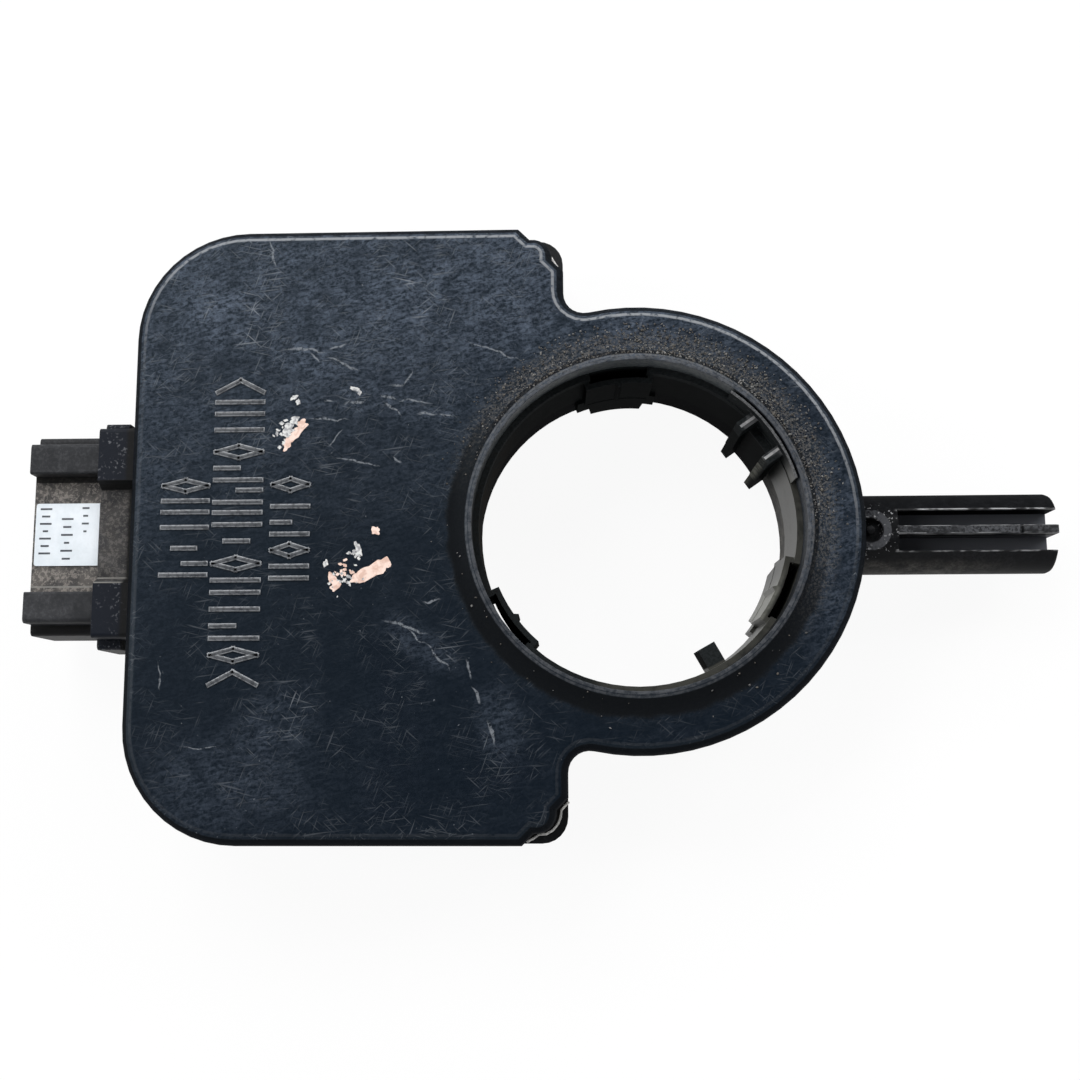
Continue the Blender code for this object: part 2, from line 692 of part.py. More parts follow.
def make_measuring_gear(index, material, magnet_material):
    teeth = measuring_teeth[index]
    place = gear_places[index]
    letter = "ab"[index]
    gear = plate(f"measuring_gear_{letter}", [gear_outline(teeth)], gear_bottom, gear_top)
    gear.data.transform(Matrix.Rotation(meshing_turn(teeth, measuring_angles[index]), 4, "Z"))
    cup_radius = magnet_radius + seat_gap + magnet_cup_wall
    cup = cylinder(f"gear_cup_{letter}", cup_radius, gear_top - bite, magnet_top)
    combine(gear, cup)
    pocket = cylinder(f"magnet_pocket_{letter}", magnet_radius + seat_gap,
                      magnet_bottom - seat_gap, magnet_top + bite)
    combine(gear, pocket, "DIFFERENCE")
    bore = cylinder(f"gear_bore_{letter}", spindle_radius + seat_gap, gear_bottom - bite,
                    magnet_bottom - seat_gap - gear_web)
    combine(gear, bore, "DIFFERENCE")
    magnet = cylinder(f"magnet_{letter}", magnet_radius, magnet_bottom, magnet_top)
    for item in (gear, cup, pocket, bore, magnet):
        item.location = (*place, 0)
    finish(gear, f"measuring_gear_{letter}", material)
    finish(magnet, f"magnet_{letter}", magnet_material)


def make_board(material):
    inset = housing_wall + board_edge_gap
    half, left = body_half_width - inset, -(body_left - inset)
    right = -(body_right + inset)
    radius = left_corner_radius - inset
    line = corner_line(inset)
    upper = [(right, line - right), (line - half, half)]
    upper += arc((left + radius, half - radius), radius, math.pi / 2, math.pi, math.radians(15))
    outline = upper + [(x, -y) for x, y in reversed(upper)]
    board = plate("circuit_board", [outline], board_bottom, board_top)
    opening = cylinder("board_opening", rotor_radius + 2 * seat_gap + sleeve_thickness,
                       board_bottom - bite, board_top + bite, steps=48)
    combine(board, opening, "DIFFERENCE")
    for index, place in enumerate(post_places):
        hole = cylinder(f"stake_hole_{index + 1}", stake_radius + seat_gap, board_bottom - bite,
                        board_top + bite, place, steps=12)
        combine(board, hole, "DIFFERENCE")
    for index, y in enumerate(terminal_rows):
        hole = cylinder(f"terminal_hole_{index + 1}", terminal_size / math.sqrt(2) + seat_gap,
                        board_bottom - bite, board_top + bite, (terminal_leg, y), steps=8)
        combine(board, hole, "DIFFERENCE")
    return finish(board, "circuit_board", material)


def make_chip(name, size, leads, height, place, material, below=False):
    """A moulded package with leads along two sides. It sits on the board, or below it."""
    length, width = size
    surface, up = (board_bottom, -1) if below else (board_top, 1)

    def box_between(tool, half_length, half_width, near, far):
        low, high = sorted((surface + up * near, surface + up * far))
        return box(tool, (-half_length, -half_width, low), (half_length, half_width, high))

    body = box_between(name, length / 2, width / 2, seat_gap + chip_stand_off, seat_gap + height)
    bevel_edges(body, lambda edge: True, chip_edge, 1)
    pitch, far = length / leads, width / 2 + lead_reach
    middles = [-length / 2 + pitch * (step + 0.5) for step in range(leads)]
    low, high = sorted((surface + up * seat_gap, surface + up * (seat_gap + lead_thickness)))
    lead_frame = plate(f"{name}_leads", [[(middle - pitch / 4, -far), (middle + pitch / 4, -far),
                                          (middle + pitch / 4, far), (middle - pitch / 4, far)]
                                         for middle in middles], low, high)
    combine(body, lead_frame)
    body.location = lead_frame.location = (*place, 0)
    return finish(body, name, material)


def make_capacitor(name, place, size, material):
    """A two-ended chip part whose end caps stand a little proud."""
    length, width, height = size
    cap, proud, half = capacitor_cap, capacitor_cap_proud, width / 2
    outline = [(-length / 2, -half), (-length / 2 + cap, -half), (-length / 2 + cap, -half + proud),
               (length / 2 - cap, -half + proud), (length / 2 - cap, -half), (length / 2, -half),
               (length / 2, half), (length / 2 - cap, half), (length / 2 - cap, half - proud),
               (-length / 2 + cap, half - proud), (-length / 2 + cap, half), (-length / 2, half)]
    item = plate(name, [outline], board_top + seat_gap, board_top + seat_gap + height)
    item.location = (*place, 0)
    return finish(item, name, material)


def make_crystal(name, place, size, material):
    length, width, height = size
    x, y = length / 2, width / 2
    outline = rounded_outline([(x, -y, crystal_corner), (x, y, crystal_corner),
                               (-x, y, crystal_corner), (-x, -y, crystal_corner)])
    item = plate(name, [outline], board_top + seat_gap, board_top + seat_gap + height)
    bevel_edges(item, at_height(board_top + seat_gap + height), crystal_edge, 1)
    item.location = (*place, 0)
    return finish(item, name, material)


def mirrored_profile(half_profile):
    """A closed (y, z) outline from its +Y half, given with corner radii from bottom to top."""
    return rounded_outline(half_profile + [(-y, z, radius)
                                           for y, z, radius in reversed(half_profile)])


def make_header(material):
    """Connector header: shroud with two wings, collar, flange and the neck in the wall."""
    edge = header_edge
    header = profile_along_x("connector_header", [mirrored_profile([
        (shroud_half_width, shroud_low, edge), (shroud_half_width, shroud_high, edge),
        (wing_outer, shroud_high, 0), (wing_outer, wing_top, edge),
        (wing_inner, wing_top, edge / 2), (wing_inner, label_floor, 0)])],
        plug_end, header_collar_start - bite)
    recess_half, recess_depth, recess_slope = header_collar_recess
    collar = profile_along_x("header_collar", [mirrored_profile([
        (header_collar_half_width, shroud_low + seat_gap, edge),
        (header_collar_half_width, header_collar_top, edge),
        (recess_half + recess_slope, header_collar_top, 0),
        (recess_half, header_collar_top - recess_depth, 0)])],
        header_collar_start, body_left + seat_gap)
    combine(header, collar)
    flange = profile_along_x("header_flange", [mirrored_profile([
        (flange_half_width, flange_low, edge), (flange_half_width, shroud_high, edge)])],
        body_left + flange_reach, body_left + flange_reach - flange_thickness)
    combine(header, flange)
    neck = profile_along_x("header_neck", [mirrored_profile([
        (neck_half_width, neck_low, 0), (neck_half_width, parting_height, 0)])],
        body_left + bite + seat_gap, header_end)
    combine(header, neck)
    socket = profile_along_x("header_socket", [mirrored_profile([
        (plug_half_width, plug_low, edge), (plug_half_width, plug_high, edge)])],
        plug_end + bite, body_left + socket_floor)
    combine(header, socket, "DIFFERENCE")
    hole_half = terminal_size / 2 + seat_gap
    for index, y in enumerate(terminal_rows):
        hole = box(f"terminal_passage_{index + 1}",
                   (-body_left - socket_floor - bite, y - hole_half, terminal_height - hole_half),
                   (-header_end + bite, y + hole_half, terminal_height + hole_half))
        combine(header, hole, "DIFFERENCE")
    return finish(header, "connector_header", material)


def make_terminals(material):
    """Square pins: out of the socket's back, through the neck and up through the board."""
    half = terminal_size / 2
    bend = terminal_bend + half
    tip, leg, level = -plug_end + terminal_tip_depth, terminal_leg, terminal_height
    outline = rounded_outline([
        (tip, level - half / 2, 0), (tip + terminal_taper, level - half, 0),
        (leg + half, level - half, bend + half), (leg + half, board_top + terminal_tail, 0),
        (leg - half, board_top + terminal_tail, 0), (leg - half, level + half, bend - half),
        (tip + terminal_taper, level + half, 0), (tip, level + half / 2, 0)])
    for index, y in enumerate(terminal_rows):
        pin = plate(f"terminal_{index + 1}", [outline], -half, half)
        upright = Matrix(((1, 0, 0, 0), (0, 0, -1, 0), (0, 1, 0, 0), (0, 0, 0, 1)))
        pin.data.transform(upright)
        pin.location.y = y
        finish(pin, f"terminal_{index + 1}", material)


def make_label(material):
    start, end, half = -plug_end + seat_gap, -header_collar_start - seat_gap, label_width / 2
    outline = rounded_outline([(start, -half, seat_gap), (end, -half, 0), (end, half, 0),
                               (start, half, seat_gap)])
    low = label_floor + label_gap
    label = plate("label", [outline], low, low + label_thickness)
    return finish(label, "label", material)


gear_places = [((rotor_pitch_radius + module * teeth / 2) * math.cos(angle),
                (rotor_pitch_radius + module * teeth / 2) * math.sin(angle))
               for teeth, angle in zip(measuring_teeth, measuring_angles)]
terminal_rows = [(index - (terminal_count - 1) / 2) * terminal_pitch
                 for index in range(terminal_count)]

cover_plastic = add_material("cover_plastic", (0.030, 0.033, 0.042), 0.55)
housing_plastic = add_material("housing_plastic", (0.026, 0.028, 0.034), 0.55)
rotor_plastic = add_material("rotor_plastic", (0.022, 0.023, 0.026), 0.5)
gear_plastic = add_material("gear_plastic", (0.72, 0.70, 0.62), 0.45)
header_plastic = add_material("header_plastic", (0.052, 0.048, 0.044), 0.6)
board_green = add_material("board_green", (0.020, 0.110, 0.050), 0.45)
chip_black = add_material("chip_black", (0.020, 0.020, 0.022), 0.5)
magnet_grey = add_material("magnet_grey", (0.16, 0.16, 0.17), 0.5, 0.6)
terminal_tin = add_material("terminal_tin", (0.68, 0.66, 0.60), 0.3, 1.0)
ceramic_tan = add_material("ceramic_tan", (0.45, 0.34, 0.22), 0.5)
crystal_can = add_material("crystal_can", (0.70, 0.70, 0.70), 0.3, 1.0)
label_paper = add_material("label_paper", (0.78, 0.82, 0.86), 0.6)

make_cover(cover_plastic)
make_lower_housing(housing_plastic)
make_rotor(rotor_plastic)
for number in range(len(measuring_teeth)):
    make_measuring_gear(number, gear_plastic, magnet_grey)
make_board(board_green)
for number, spot in enumerate(gear_places):
    make_chip(f"field_sensor_{'ab'[number]}", field_sensor_size, field_sensor_lead_count,
              field_sensor_height, spot, chip_black, below=True)
for chip, (size, leads, spot) in chips.items():
    make_chip(chip, size, leads, chip_height, spot, chip_black)
make_crystal("crystal", crystal_place, crystal_size, crystal_can)
for number, (size, spot) in enumerate(capacitors):
    make_capacitor(f"capacitor_{number + 1}", spot, size, ceramic_tan)
make_header(header_plastic)
make_terminals(terminal_tin)
make_label(label_paper)
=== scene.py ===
import functools
import json
import math
import random

import bmesh
import bpy
from mathutils import Matrix, Vector


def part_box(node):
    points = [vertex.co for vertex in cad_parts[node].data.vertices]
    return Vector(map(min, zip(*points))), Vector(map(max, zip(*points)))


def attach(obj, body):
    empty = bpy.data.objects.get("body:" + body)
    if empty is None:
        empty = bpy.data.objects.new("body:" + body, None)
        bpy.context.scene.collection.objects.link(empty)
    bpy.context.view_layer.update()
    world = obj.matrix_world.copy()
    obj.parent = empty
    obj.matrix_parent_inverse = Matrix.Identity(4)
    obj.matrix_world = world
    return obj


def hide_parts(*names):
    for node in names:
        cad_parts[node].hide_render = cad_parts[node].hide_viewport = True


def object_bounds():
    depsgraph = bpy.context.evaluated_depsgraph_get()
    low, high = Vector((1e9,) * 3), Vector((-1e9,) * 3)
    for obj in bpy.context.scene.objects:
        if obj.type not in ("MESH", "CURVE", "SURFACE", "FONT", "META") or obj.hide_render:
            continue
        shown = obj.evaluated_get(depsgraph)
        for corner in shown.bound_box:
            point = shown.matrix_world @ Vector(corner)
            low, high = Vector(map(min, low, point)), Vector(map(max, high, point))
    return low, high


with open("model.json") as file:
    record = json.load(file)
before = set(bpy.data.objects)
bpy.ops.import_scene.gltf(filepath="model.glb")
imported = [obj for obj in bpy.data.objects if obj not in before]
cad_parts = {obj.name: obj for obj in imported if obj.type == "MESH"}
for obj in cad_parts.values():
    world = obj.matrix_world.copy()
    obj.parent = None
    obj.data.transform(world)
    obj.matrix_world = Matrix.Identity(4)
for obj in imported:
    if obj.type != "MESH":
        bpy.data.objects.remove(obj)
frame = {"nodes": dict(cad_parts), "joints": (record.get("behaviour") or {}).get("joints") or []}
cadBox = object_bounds()
mm = 0.001
faceHeight = 19.0    # of the cover's face above the underside, in millimetres
boreX = next(joint for joint in frame["joints"] if joint["name"] == "rotor_turn")["pos_m"][0]
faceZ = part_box("lower_housing")[0][2] + faceHeight * mm


def spot(x, y, z=0.0):    # a place, given in millimetres from the bore's axis and the cover's face
    return Vector((boreX + x * mm, y * mm, faceZ + z * mm))


# shader maths
class Wire:
    def __init__(self, tree, socket=None):
        self.tree, self.socket = tree, socket

    def node(self, kind, settings=None, sockets=None, out=0):
        made = self.tree.nodes.new(kind)
        for key, value in (settings or {}).items():
            setattr(made, key, value)
        for key, value in (sockets or {}).items():
            if isinstance(value, Wire):
                self.tree.links.new(value.socket, made.inputs[key])
            elif value is not None:
                made.inputs[key].default_value = value
        return Wire(self.tree, made.outputs[out])

    def mathNode(self, operation, *values):
        return self.node("ShaderNodeMath", {"operation": operation}, dict(enumerate(values)))

    def __add__(self, other):
        return self.mathNode("ADD", self, other)

    def __sub__(self, other):
        return self.mathNode("SUBTRACT", self, other)

    def __rsub__(self, other):
        return self.mathNode("SUBTRACT", other, self)

    def __mul__(self, other):
        return self.mathNode("MULTIPLY", self, other)

    def __abs__(self):
        return self.mathNode("ABSOLUTE", self)

    __radd__, __rmul__ = __add__, __mul__

    def largest(self, other):
        return self.mathNode("MAXIMUM", self, other)

    def step(self, low, high):    # 0 at low, 1 at high, which may be the lesser
        return self.node("ShaderNodeMapRange", {"interpolation_type": "SMOOTHSTEP"},
                         {"Value": self, "From Min": low, "From Max": high})

    def between(self, low, high, soft):    # 1 from low to high, fading over the soft width outside them
        return self.step(low - soft, low) * self.step(high + soft, high)

    def blend(self, first, second):    # self is the share of the second colour
        return self.node("ShaderNodeMix", {"data_type": "RGBA"}, {0: self, 6: first, 7: second}, out=2)


def together(masks):    # the largest of several masks at each point
    return functools.reduce(Wire.largest, masks)


def rgb(*colour):
    return (*colour, 1.0)


class Surface:    # a new material, with its coordinates in millimetres from the bore and the face
    def __init__(self, name, roughness=0.5, metallic=0.0, ior=1.45):
        self.material = bpy.data.materials.new(name)
        self.material.use_nodes = True
        self.tree = self.material.node_tree
        self.shader = self.tree.nodes["Principled BSDF"]
        self.set(Roughness=roughness, Metallic=metallic, IOR=ior)
        self.start = Wire(self.tree)
        local = self.start.node("ShaderNodeTexCoord", out=3)
        self.place = self.start.node(
            "ShaderNodeMapping", sockets={0: local, 1: (-boreX / mm, 0, -faceZ / mm), 3: (1 / mm,) * 3})
        split = self.start.node("ShaderNodeSeparateXYZ", sockets={0: self.place}).socket.node
        self.x, self.y, self.z = (Wire(self.tree, split.outputs[axis]) for axis in range(3))

    def radius(self, x=0.0, y=0.0):    # from an upright axis
        flat = self.start.node("ShaderNodeCombineXYZ", sockets={0: self.x - x, 1: self.y - y})
        return self.start.node("ShaderNodeVectorMath", {"operation": "LENGTH"}, {0: flat}, out=1)

    def turned(self, angle=0.0, scale=(1, 1, 1), move=(0, 0, 0), where=None):
        return self.start.node("ShaderNodeMapping", {"vector_type": "TEXTURE"},
                               {0: where or self.place, 1: move, 2: (0, 0, angle), 3: scale})

    def noise(self, size, detail=2.0, where=None, roughness=0.5, distortion=0.0):
        return self.start.node("ShaderNodeTexNoise", sockets={
            "Vector": where or self.place, "Scale": 1 / size, "Detail": detail,
            "Roughness": roughness, "Distortion": distortion})

    def hairs(self, angle, length, width, share):    # thin straight marks, all one way
        apart = (length * 3.7, width * 5.3, 0)    # keeps one set of hairs off the next
        along = self.turned(angle, (length, width, width), apart)
        return self.noise(1, 0.5, along).step(0.80 - share, 0.92 - share)

    def swayed(self, size, reach):    # the place, shifted a little by noise
        wave = self.start.node("ShaderNodeTexNoise", sockets={
            "Vector": self.place, "Scale": 1 / size, "Detail": 1.5}, out=1)
        shift = self.start.node("ShaderNodeVectorMath", {"operation": "SUBTRACT"}, {0: wave, 1: (0.5,) * 3})
        return self.start.node("ShaderNodeVectorMath", {"operation": "MULTIPLY_ADD"},
                               {0: shift, 1: (reach,) * 3, 2: self.place})

    def patch(self, x, y, length, width, angle=0.0, where=None, core=0.25):    # a soft oval
        upright = 400    # so long that height makes no difference
        inside = self.start.node("ShaderNodeVectorMath", {"operation": "LENGTH"},
                                 {0: self.turned(angle, (length, width, upright), (x, y, 0), where)}, out=1)
        return inside.step(1.0, core)

    def scratch(self, start, end, half, where):    # a thin oval over two points
        angle = math.atan2(end[1] - start[1], end[0] - start[0])
        return self.patch((start[0] + end[0]) / 2, (start[1] + end[1]) / 2,
                          math.dist(start, end) * 0.56, half * 1.25, angle, where, 0.45)

    def set(self, **values):
        for name, value in values.items():
            socket = self.shader.inputs[name.replace("_", " ")]
            if isinstance(value, Wire):
                self.tree.links.new(value.socket, socket)
            else:
                socket.default_value = value

    def bump(self, height, distance, strength=1.0):
        return self.start.node("ShaderNodeBump", sockets={
            "Height": height, "Distance": distance * mm, "Strength": strength})

    def dull(self, share, colour):    # share of the surface that has no gloss, such as edges painted in shade
        flat = self.start.node("ShaderNodeBsdfPrincipled", sockets={
            "Base Color": colour, "Roughness": 0.9, "Specular IOR Level": 0.0})
        mixed = self.start.node("ShaderNodeMixShader", sockets={
            0: share, 1: Wire(self.tree, self.shader.outputs[0]), 2: flat})
        self.tree.links.new(mixed.socket, self.tree.nodes["Material Output"].inputs["Surface"])


# finishes: in "at", X and Y are from the bore's axis, Z is a height from the face and R a radius, all in
# millimetres; a pair says where an area fades in, from none to full, or else where it begins and ends
coverLook = {
    # haze is the colour of the haze, and on the upper part also of a painted sheen
    "dark": rgb(0.0021, 0.0047, 0.0090), "hazeAndSheen": rgb(0.086, 0.106, 0.142), "gloss": rgb(0.72, 0.88, 1.0),
    "scratch": rgb(0.19, 0.205, 0.225), "dust": rgb(0.108, 0.102, 0.095), "worn": rgb(0.115, 0.118, 0.126),
    # rim: colour of a painted highlight on the outer rounding; the second colour on this line is painted
    # shade
    "rim": rgb(0.20, 0.208, 0.222), "paintedShade": rgb(0.0060, 0.0068, 0.0080),
    # seam: colour of a painted highlight at the cover's foot; the bore wall colour is painted light
    "seam": rgb(0.55, 0.54, 0.52), "boreWallPaintedLight": rgb(0.060, 0.068, 0.070),
    "roughness": 0.45, "ior": 1.42, "shine": 0.17,
    # how strong the haze and the hairlines are all over, and how much the upper part and scuffs add; on the
    # upper part the haze is also a painted sheen, and the sides are painted darker as shade
    "hazeShare": 0.06, "upperHazeAndSheen": 0.54, "scuffedHaze": 0.24, "sidesShade": 0.62,
    "lineShare": 0.19, "upperLines": 0.17, "scuffedLines": 0.42,
    "scratchShare": 0.75, "nickShare": 0.55, "dustShare": 0.70, "edgeShade": 0.86,
    "at": {"upperY": (-5, 37), "sidesZ": (-1.0, -2.2), "flankZ": (1.26, 1.14), "flankR": (23.7, 22.9),
           "dustyY": (-9, 12), "dustR": (21.4, 23.3), "creaseZ": (0.86, 1.16), "creaseR": (20.9, 22.2),
           "crownZ": (1.17, 1.25), "crownR": (21.2, 21.0), "crownGrooveR": 20.75,
           "rimZ": (-0.145, -0.085), "rimR": (23.5, 24.5), "highlightY": (0, 24),
           "wallR": (20.7, 20.5), "wallZ": (1.2, 1.0), "wallX": (17, 11),
           "footZ": (-6.2, -5.2), "footX": (-16, -8), "footY": (32, 33),
           "edgeZ": (-0.19, -0.34), "edgeFootZ": (-3.2, -1.7), "edgeR": (22, 23)},
    # angle, length, width and share of the hairlines
    "hairs": [(0.12, 4.2, 0.24, 0.15), (0.72, 2.6, 0.22, 0.14), (1.22, 3.4, 0.20, 0.14),
              (2.40, 3.2, 0.22, 0.14), (2.90, 5.0, 0.20, 0.14)],
    # from, to and half width
    "scratches": [((-46.1, 37.0), (-45.3, 33.0), 0.16), ((-21.2, 23.4), (-13.7, 20.5), 0.10),
                  ((-58.4, -16.3), (-58.0, -19.9), 0.10),
                  ((-55.4, -26.6), (-50.6, -26.9), 0.06), ((-35.5, 17.5), (-34.1, 16.6), 0.20),
                  ((-31.9, 16.6), (-29.6, 16.0), 0.18), ((-29.6, 16.0), (-25.4, 15.2), 0.13),
                  ((-30.6, 17.7), (-28.7, 17.7), 0.13), ((-28.7, 17.7), (-27.8, 19.5), 0.12),
                  ((-35.9, 15.4), (-33.4, 15.9), 0.12), ((-31.2, 15.6), (-29.0, 13.7), 0.14),
                  ((-27.1, 14.0), (-24.6, 14.1), 0.14), ((-24.6, 14.1), (-22.6, 13.7), 0.13),
                  ((-38.9, 15.8), (-37.5, 15.7), 0.12), ((-40.7, 13.5), (-35.7, 13.4), 0.12),
                  ((-44.0, 22.7), (-38.6, 22.2), 0.20), ((-38.6, 22.2), (-35.8, 23.3), 0.14),
                  ((-40.6, 21.9), (-39.5, 20.5), 0.12), ((-38.6, 21.6), (-34.3, 19.6), 0.13),
                  ((-37.5, 8.7), (-31.5, 7.3), 0.14), ((-30.3, 8.7), (-29.0, 7.8), 0.12),
                  ((-38.0, 10.2), (-36.3, 12.1), 0.10), ((-31.2, -11.5), (-25.3, -13.4), 0.16),
                  ((-28.1, -12.7), (-25.8, -14.6), 0.12), ((-25.8, -14.6), (-22.9, -17.6), 0.12),
                  ((-26.3, -9.3), (-24.0, -9.1), 0.12), ((-21.1, -16.0), (-20.2, -18.8), 0.14),
                  ((-20.2, -19.7), (-19.0, -21.8), 0.16), ((-18.3, -23.6), (-17.5, -26.5), 0.22)],
    # middle, half length and width, turn: where scuffs gather
    "scuffs": [(-32.4, 15.6, 6.8, 3.0, -0.10), (-41.6, 21.4, 6.2, 2.4, -0.35), (-26.5, 29.5, 9.5, 7.0, 0.2),
               (-24.4, 13.9, 3.2, 1.4, -0.2), (-26.5, -14.5, 8.0, 3.0, -0.6), (-43.4, -23.6, 7.4, 6.0, 0.4),
               (-17.0, -24.0, 4.2, 6.4, 0.2), (-50.6, 26.5, 7.0, 6.0, 0.6)],
    # the same and a share, for where the haze lies besides the upper part
    "hazy": [(-50.0, -31.0, 15.0, 9.0, 0.0, 0.20), (-60.0, 1.0, 6.0, 17.0, 0.0, 0.07),
             (24.5, -4.0, 8.0, 22.0, 0.0, 0.34), (-17.0, 25.0, 9.0, 7.0, 0.0, 0.20),
             (6.0, 26.0, 20.0, 7.0, -0.3, 0.16)],
}


def coverPlastic(look):
    at = look["at"]
    s = Surface("cover_charcoal", look["roughness"], ior=look["ior"])
    s.set(Specular_IOR_Level=look["shine"], Specular_Tint=look["gloss"])
    radius = s.radius()
    cloudy = s.noise(13, 3.0) * 0.5 + s.noise(2.0, 4.0) * 0.5
    grain = s.noise(0.46, 4.0, roughness=0.68)
    streaks = s.noise(1, 3.0, s.turned(0.25, (1.5, 0.50, 0.50)), 0.6, 1.2)
    # haze and painted sheen: most in the upper part, which is painted lighter as sheen as well as haze, and
    # haze where scuffs gather; painted shade on the sides, which lose it
    high = (s.y - s.x * 0.06).step(*at["upperY"])
    scuffed = together(s.patch(*oval) for oval in look["scuffs"])
    hazy = together(s.patch(*oval) * share for *oval, share in look["hazy"])
    texture = 0.05 + 0.60 * streaks.step(0.42, 0.60) + 0.60 * grain.step(0.40, 0.62)
    hazeAndSheen = (0.35 + 0.65 * cloudy.step(0.34, 0.62)) * (
        look["hazeShare"] + look["upperHazeAndSheen"] * high + look["scuffedHaze"] * scuffed + hazy)
    # painted shade: below the face the sides lose most of the haze and sheen
    hazeAndSheen = hazeAndSheen * (1 - look["sidesShade"] * s.z.step(*at["sidesZ"]))
    colour = (hazeAndSheen * texture).blend(look["dark"], look["hazeAndSheen"])
    # hairlines, scratches and nicks
    lines = together(s.hairs(*hairs) for hairs in look["hairs"]) * s.noise(5.5, 3.0).step(0.42, 0.62)
    lines = lines * (look["lineShare"] + look["upperLines"] * high + look["scuffedLines"] * scuffed)
    place = s.swayed(1.6, 1.1)
    marks = together(s.scratch(*mark, place) for mark in look["scratches"])
    lines = lines.largest(marks * grain.step(0.36, 0.54) * look["scratchShare"])
    colour = lines.blend(colour, look["scratch"])
    nicks = s.noise(0.5, 2.0).step(0.72, 0.77) * s.noise(9).step(0.44, 0.60)
    colour = (nicks * look["nickShare"]).blend(colour, look["scratch"])
    # painted shade on the lip's outer slope, strongest low down, and in its crease; dust outside it, at the
    # top and upper right
    wander = radius + (cloudy - 0.5) * 2.2
    flank = s.z.step(*at["flankZ"]) * wander.step(*at["flankR"])
    upper = (s.y + s.x * 0.45).step(*at["dustyY"])
    crease = s.z.between(*at["creaseZ"], 0.10) * radius.between(*at["creaseR"], 0.1)
    dusty = wander.between(*at["dustR"], 1.6) * (0.06 + 0.94 * upper)
    clumps = s.noise(0.36, 4.0, roughness=0.75).step(0.47, 0.60)
    lipShade = (flank * (1 - upper * 0.75)).largest(crease * 0.8 * s.noise(0.8, 2.0).step(0.30, 0.55))
    colour = lipShade.blend(colour, look["paintedShade"])
    colour = (dusty * clumps * look["dustShare"]).blend(colour, look["dust"])
    # rubbed pale: the lip's crown, with a fine groove along it; and a painted highlight, broken up in
    # patches, along the inner edge of the outer rounding, strongest on the upper side
    patchy = s.noise(0.6, 3.0)
    crown = s.z.step(*at["crownZ"]) * radius.step(*at["crownR"])
    groove = abs(radius - at["crownGrooveR"]).step(0.03, 0.10)
    rubbed = crown * (0.30 + 0.70 * groove) * (0.18 + 0.32 * patchy.step(0.36, 0.64))
    colour = rubbed.blend(colour, look["worn"])
    rim = s.z.between(*at["rimZ"], 0.035) * radius.step(*at["rimR"])
    highlightSide = (s.y + s.x * 0.27).step(*at["highlightY"])
    colour = (rim * (0.06 + 0.94 * highlightSide) * patchy.step(0.26, 0.50)).blend(colour, look["rim"])
    # painted light on the wall inside the lip, which is painted lighter where it lies in shade; and a painted
    # highlight as a pale line at the cover's foot
    paintedLightWall = radius.step(*at["wallR"]) * s.z.step(*at["wallZ"]) * s.x.step(*at["wallX"])
    colour = (paintedLightWall * (0.35 + 0.65 * patchy.step(0.38, 0.60))).blend(colour, look["boreWallPaintedLight"])
    # painted highlight: a pale line at the cover's foot, at the right-hand corners
    foot = s.z.between(*at["footZ"], 0.05) * s.x.between(*at["footX"], 0.5) * abs(s.y).step(*at["footY"])
    colour = foot.blend(colour, look["seam"])
    s.set(Base_Color=colour,
          Roughness=look["roughness"] + (cloudy - 0.5) * 0.18 - lines * 0.1 + dusty * 0.3,
          Normal=s.bump(grain * 1.2 + streaks * 0.7, 0.03, 0.8))
    # painted shade: the outer part of the outer rounding and the top of the sides, the lower lip slope and
    # the crease have no gloss and take the shade colour, so the white floor does not show in them
    edge = s.z.step(*at["edgeZ"]) * s.z.step(*at["edgeFootZ"]) * radius.step(*at["edgeR"])
    s.dull((edge * look["edgeShade"]).largest(flank * (1 - upper) * 0.8).largest(crease * 0.7), look["paintedShade"])
    return s.material


def mouldedPlastic(name, dark, light, roughness, gloss=0.5, dust=None, dustShare=0.0):
    s = Surface(name, roughness)
    s.set(Specular_IOR_Level=gloss)
    cloudy = s.noise(9, 4.0) * 0.5 + s.noise(1.7, 3.0) * 0.5
    colour = cloudy.step(0.36, 0.68).blend(dark, light)
    rough = roughness + (cloudy - 0.5) * 0.18
    if dust:
        lying = s.noise(2.4, 4.0).step(0.62 - dustShare * 0.3, 0.78 - dustShare * 0.3)
        flecks = s.noise(0.35, 3.0).step(0.50, 0.62)
        mask = (lying * 0.6 + flecks * 0.45) * dustShare
        colour = mask.blend(colour, dust)
        rough = rough + mask * 0.25
    s.set(Base_Color=colour, Roughness=rough,
          Normal=s.bump(s.noise(0.2, 2.0) * 0.6 + s.noise(1.0, 2.0) * 0.4, 0.018, 0.5))
    return s.material


housingLook = {
    "dark": rgb(0.0040, 0.0043, 0.0050), "light": rgb(0.0120, 0.0125, 0.0140),
    "grooveDust": rgb(0.115, 0.120, 0.135), "rib": rgb(0.058, 0.060, 0.066),
    "rubbed": rgb(0.30, 0.303, 0.31), "dust": rgb(0.095, 0.090, 0.082),
    "roughness": 0.48, "ior": 1.40, "shine": 0.25,
    # middle of the boss, half widths of the arm's groove and of the rib in it
    "boss": (29.5, 0.0), "grooveHalf": 2.6, "ribHalf": 0.5,
    "at": {"armX": (28.0, 28.6), "topZ": (-8.4, -7.4), "ribX": (32.7, 33.1), "roughX": (41.3, 47.8),
           "rimX": (32.5, 33.0), "rimZ": (-8.2, -7.6), "ribRimX": (32.8, 33.1),
           "ringR": (1.7, 2.5), "ringZ": (-7.2, -6.8), "chipsR": (0.9, 3.6),
           "shaftR": (20.6, 20.3), "rightX": (10, 18), "lowY": (-3.3, -4.6), "lowX": (51, 36),
           "grooveZ": (-8.6, -9.4), "upperWallY": (1.5, 2.0)}}


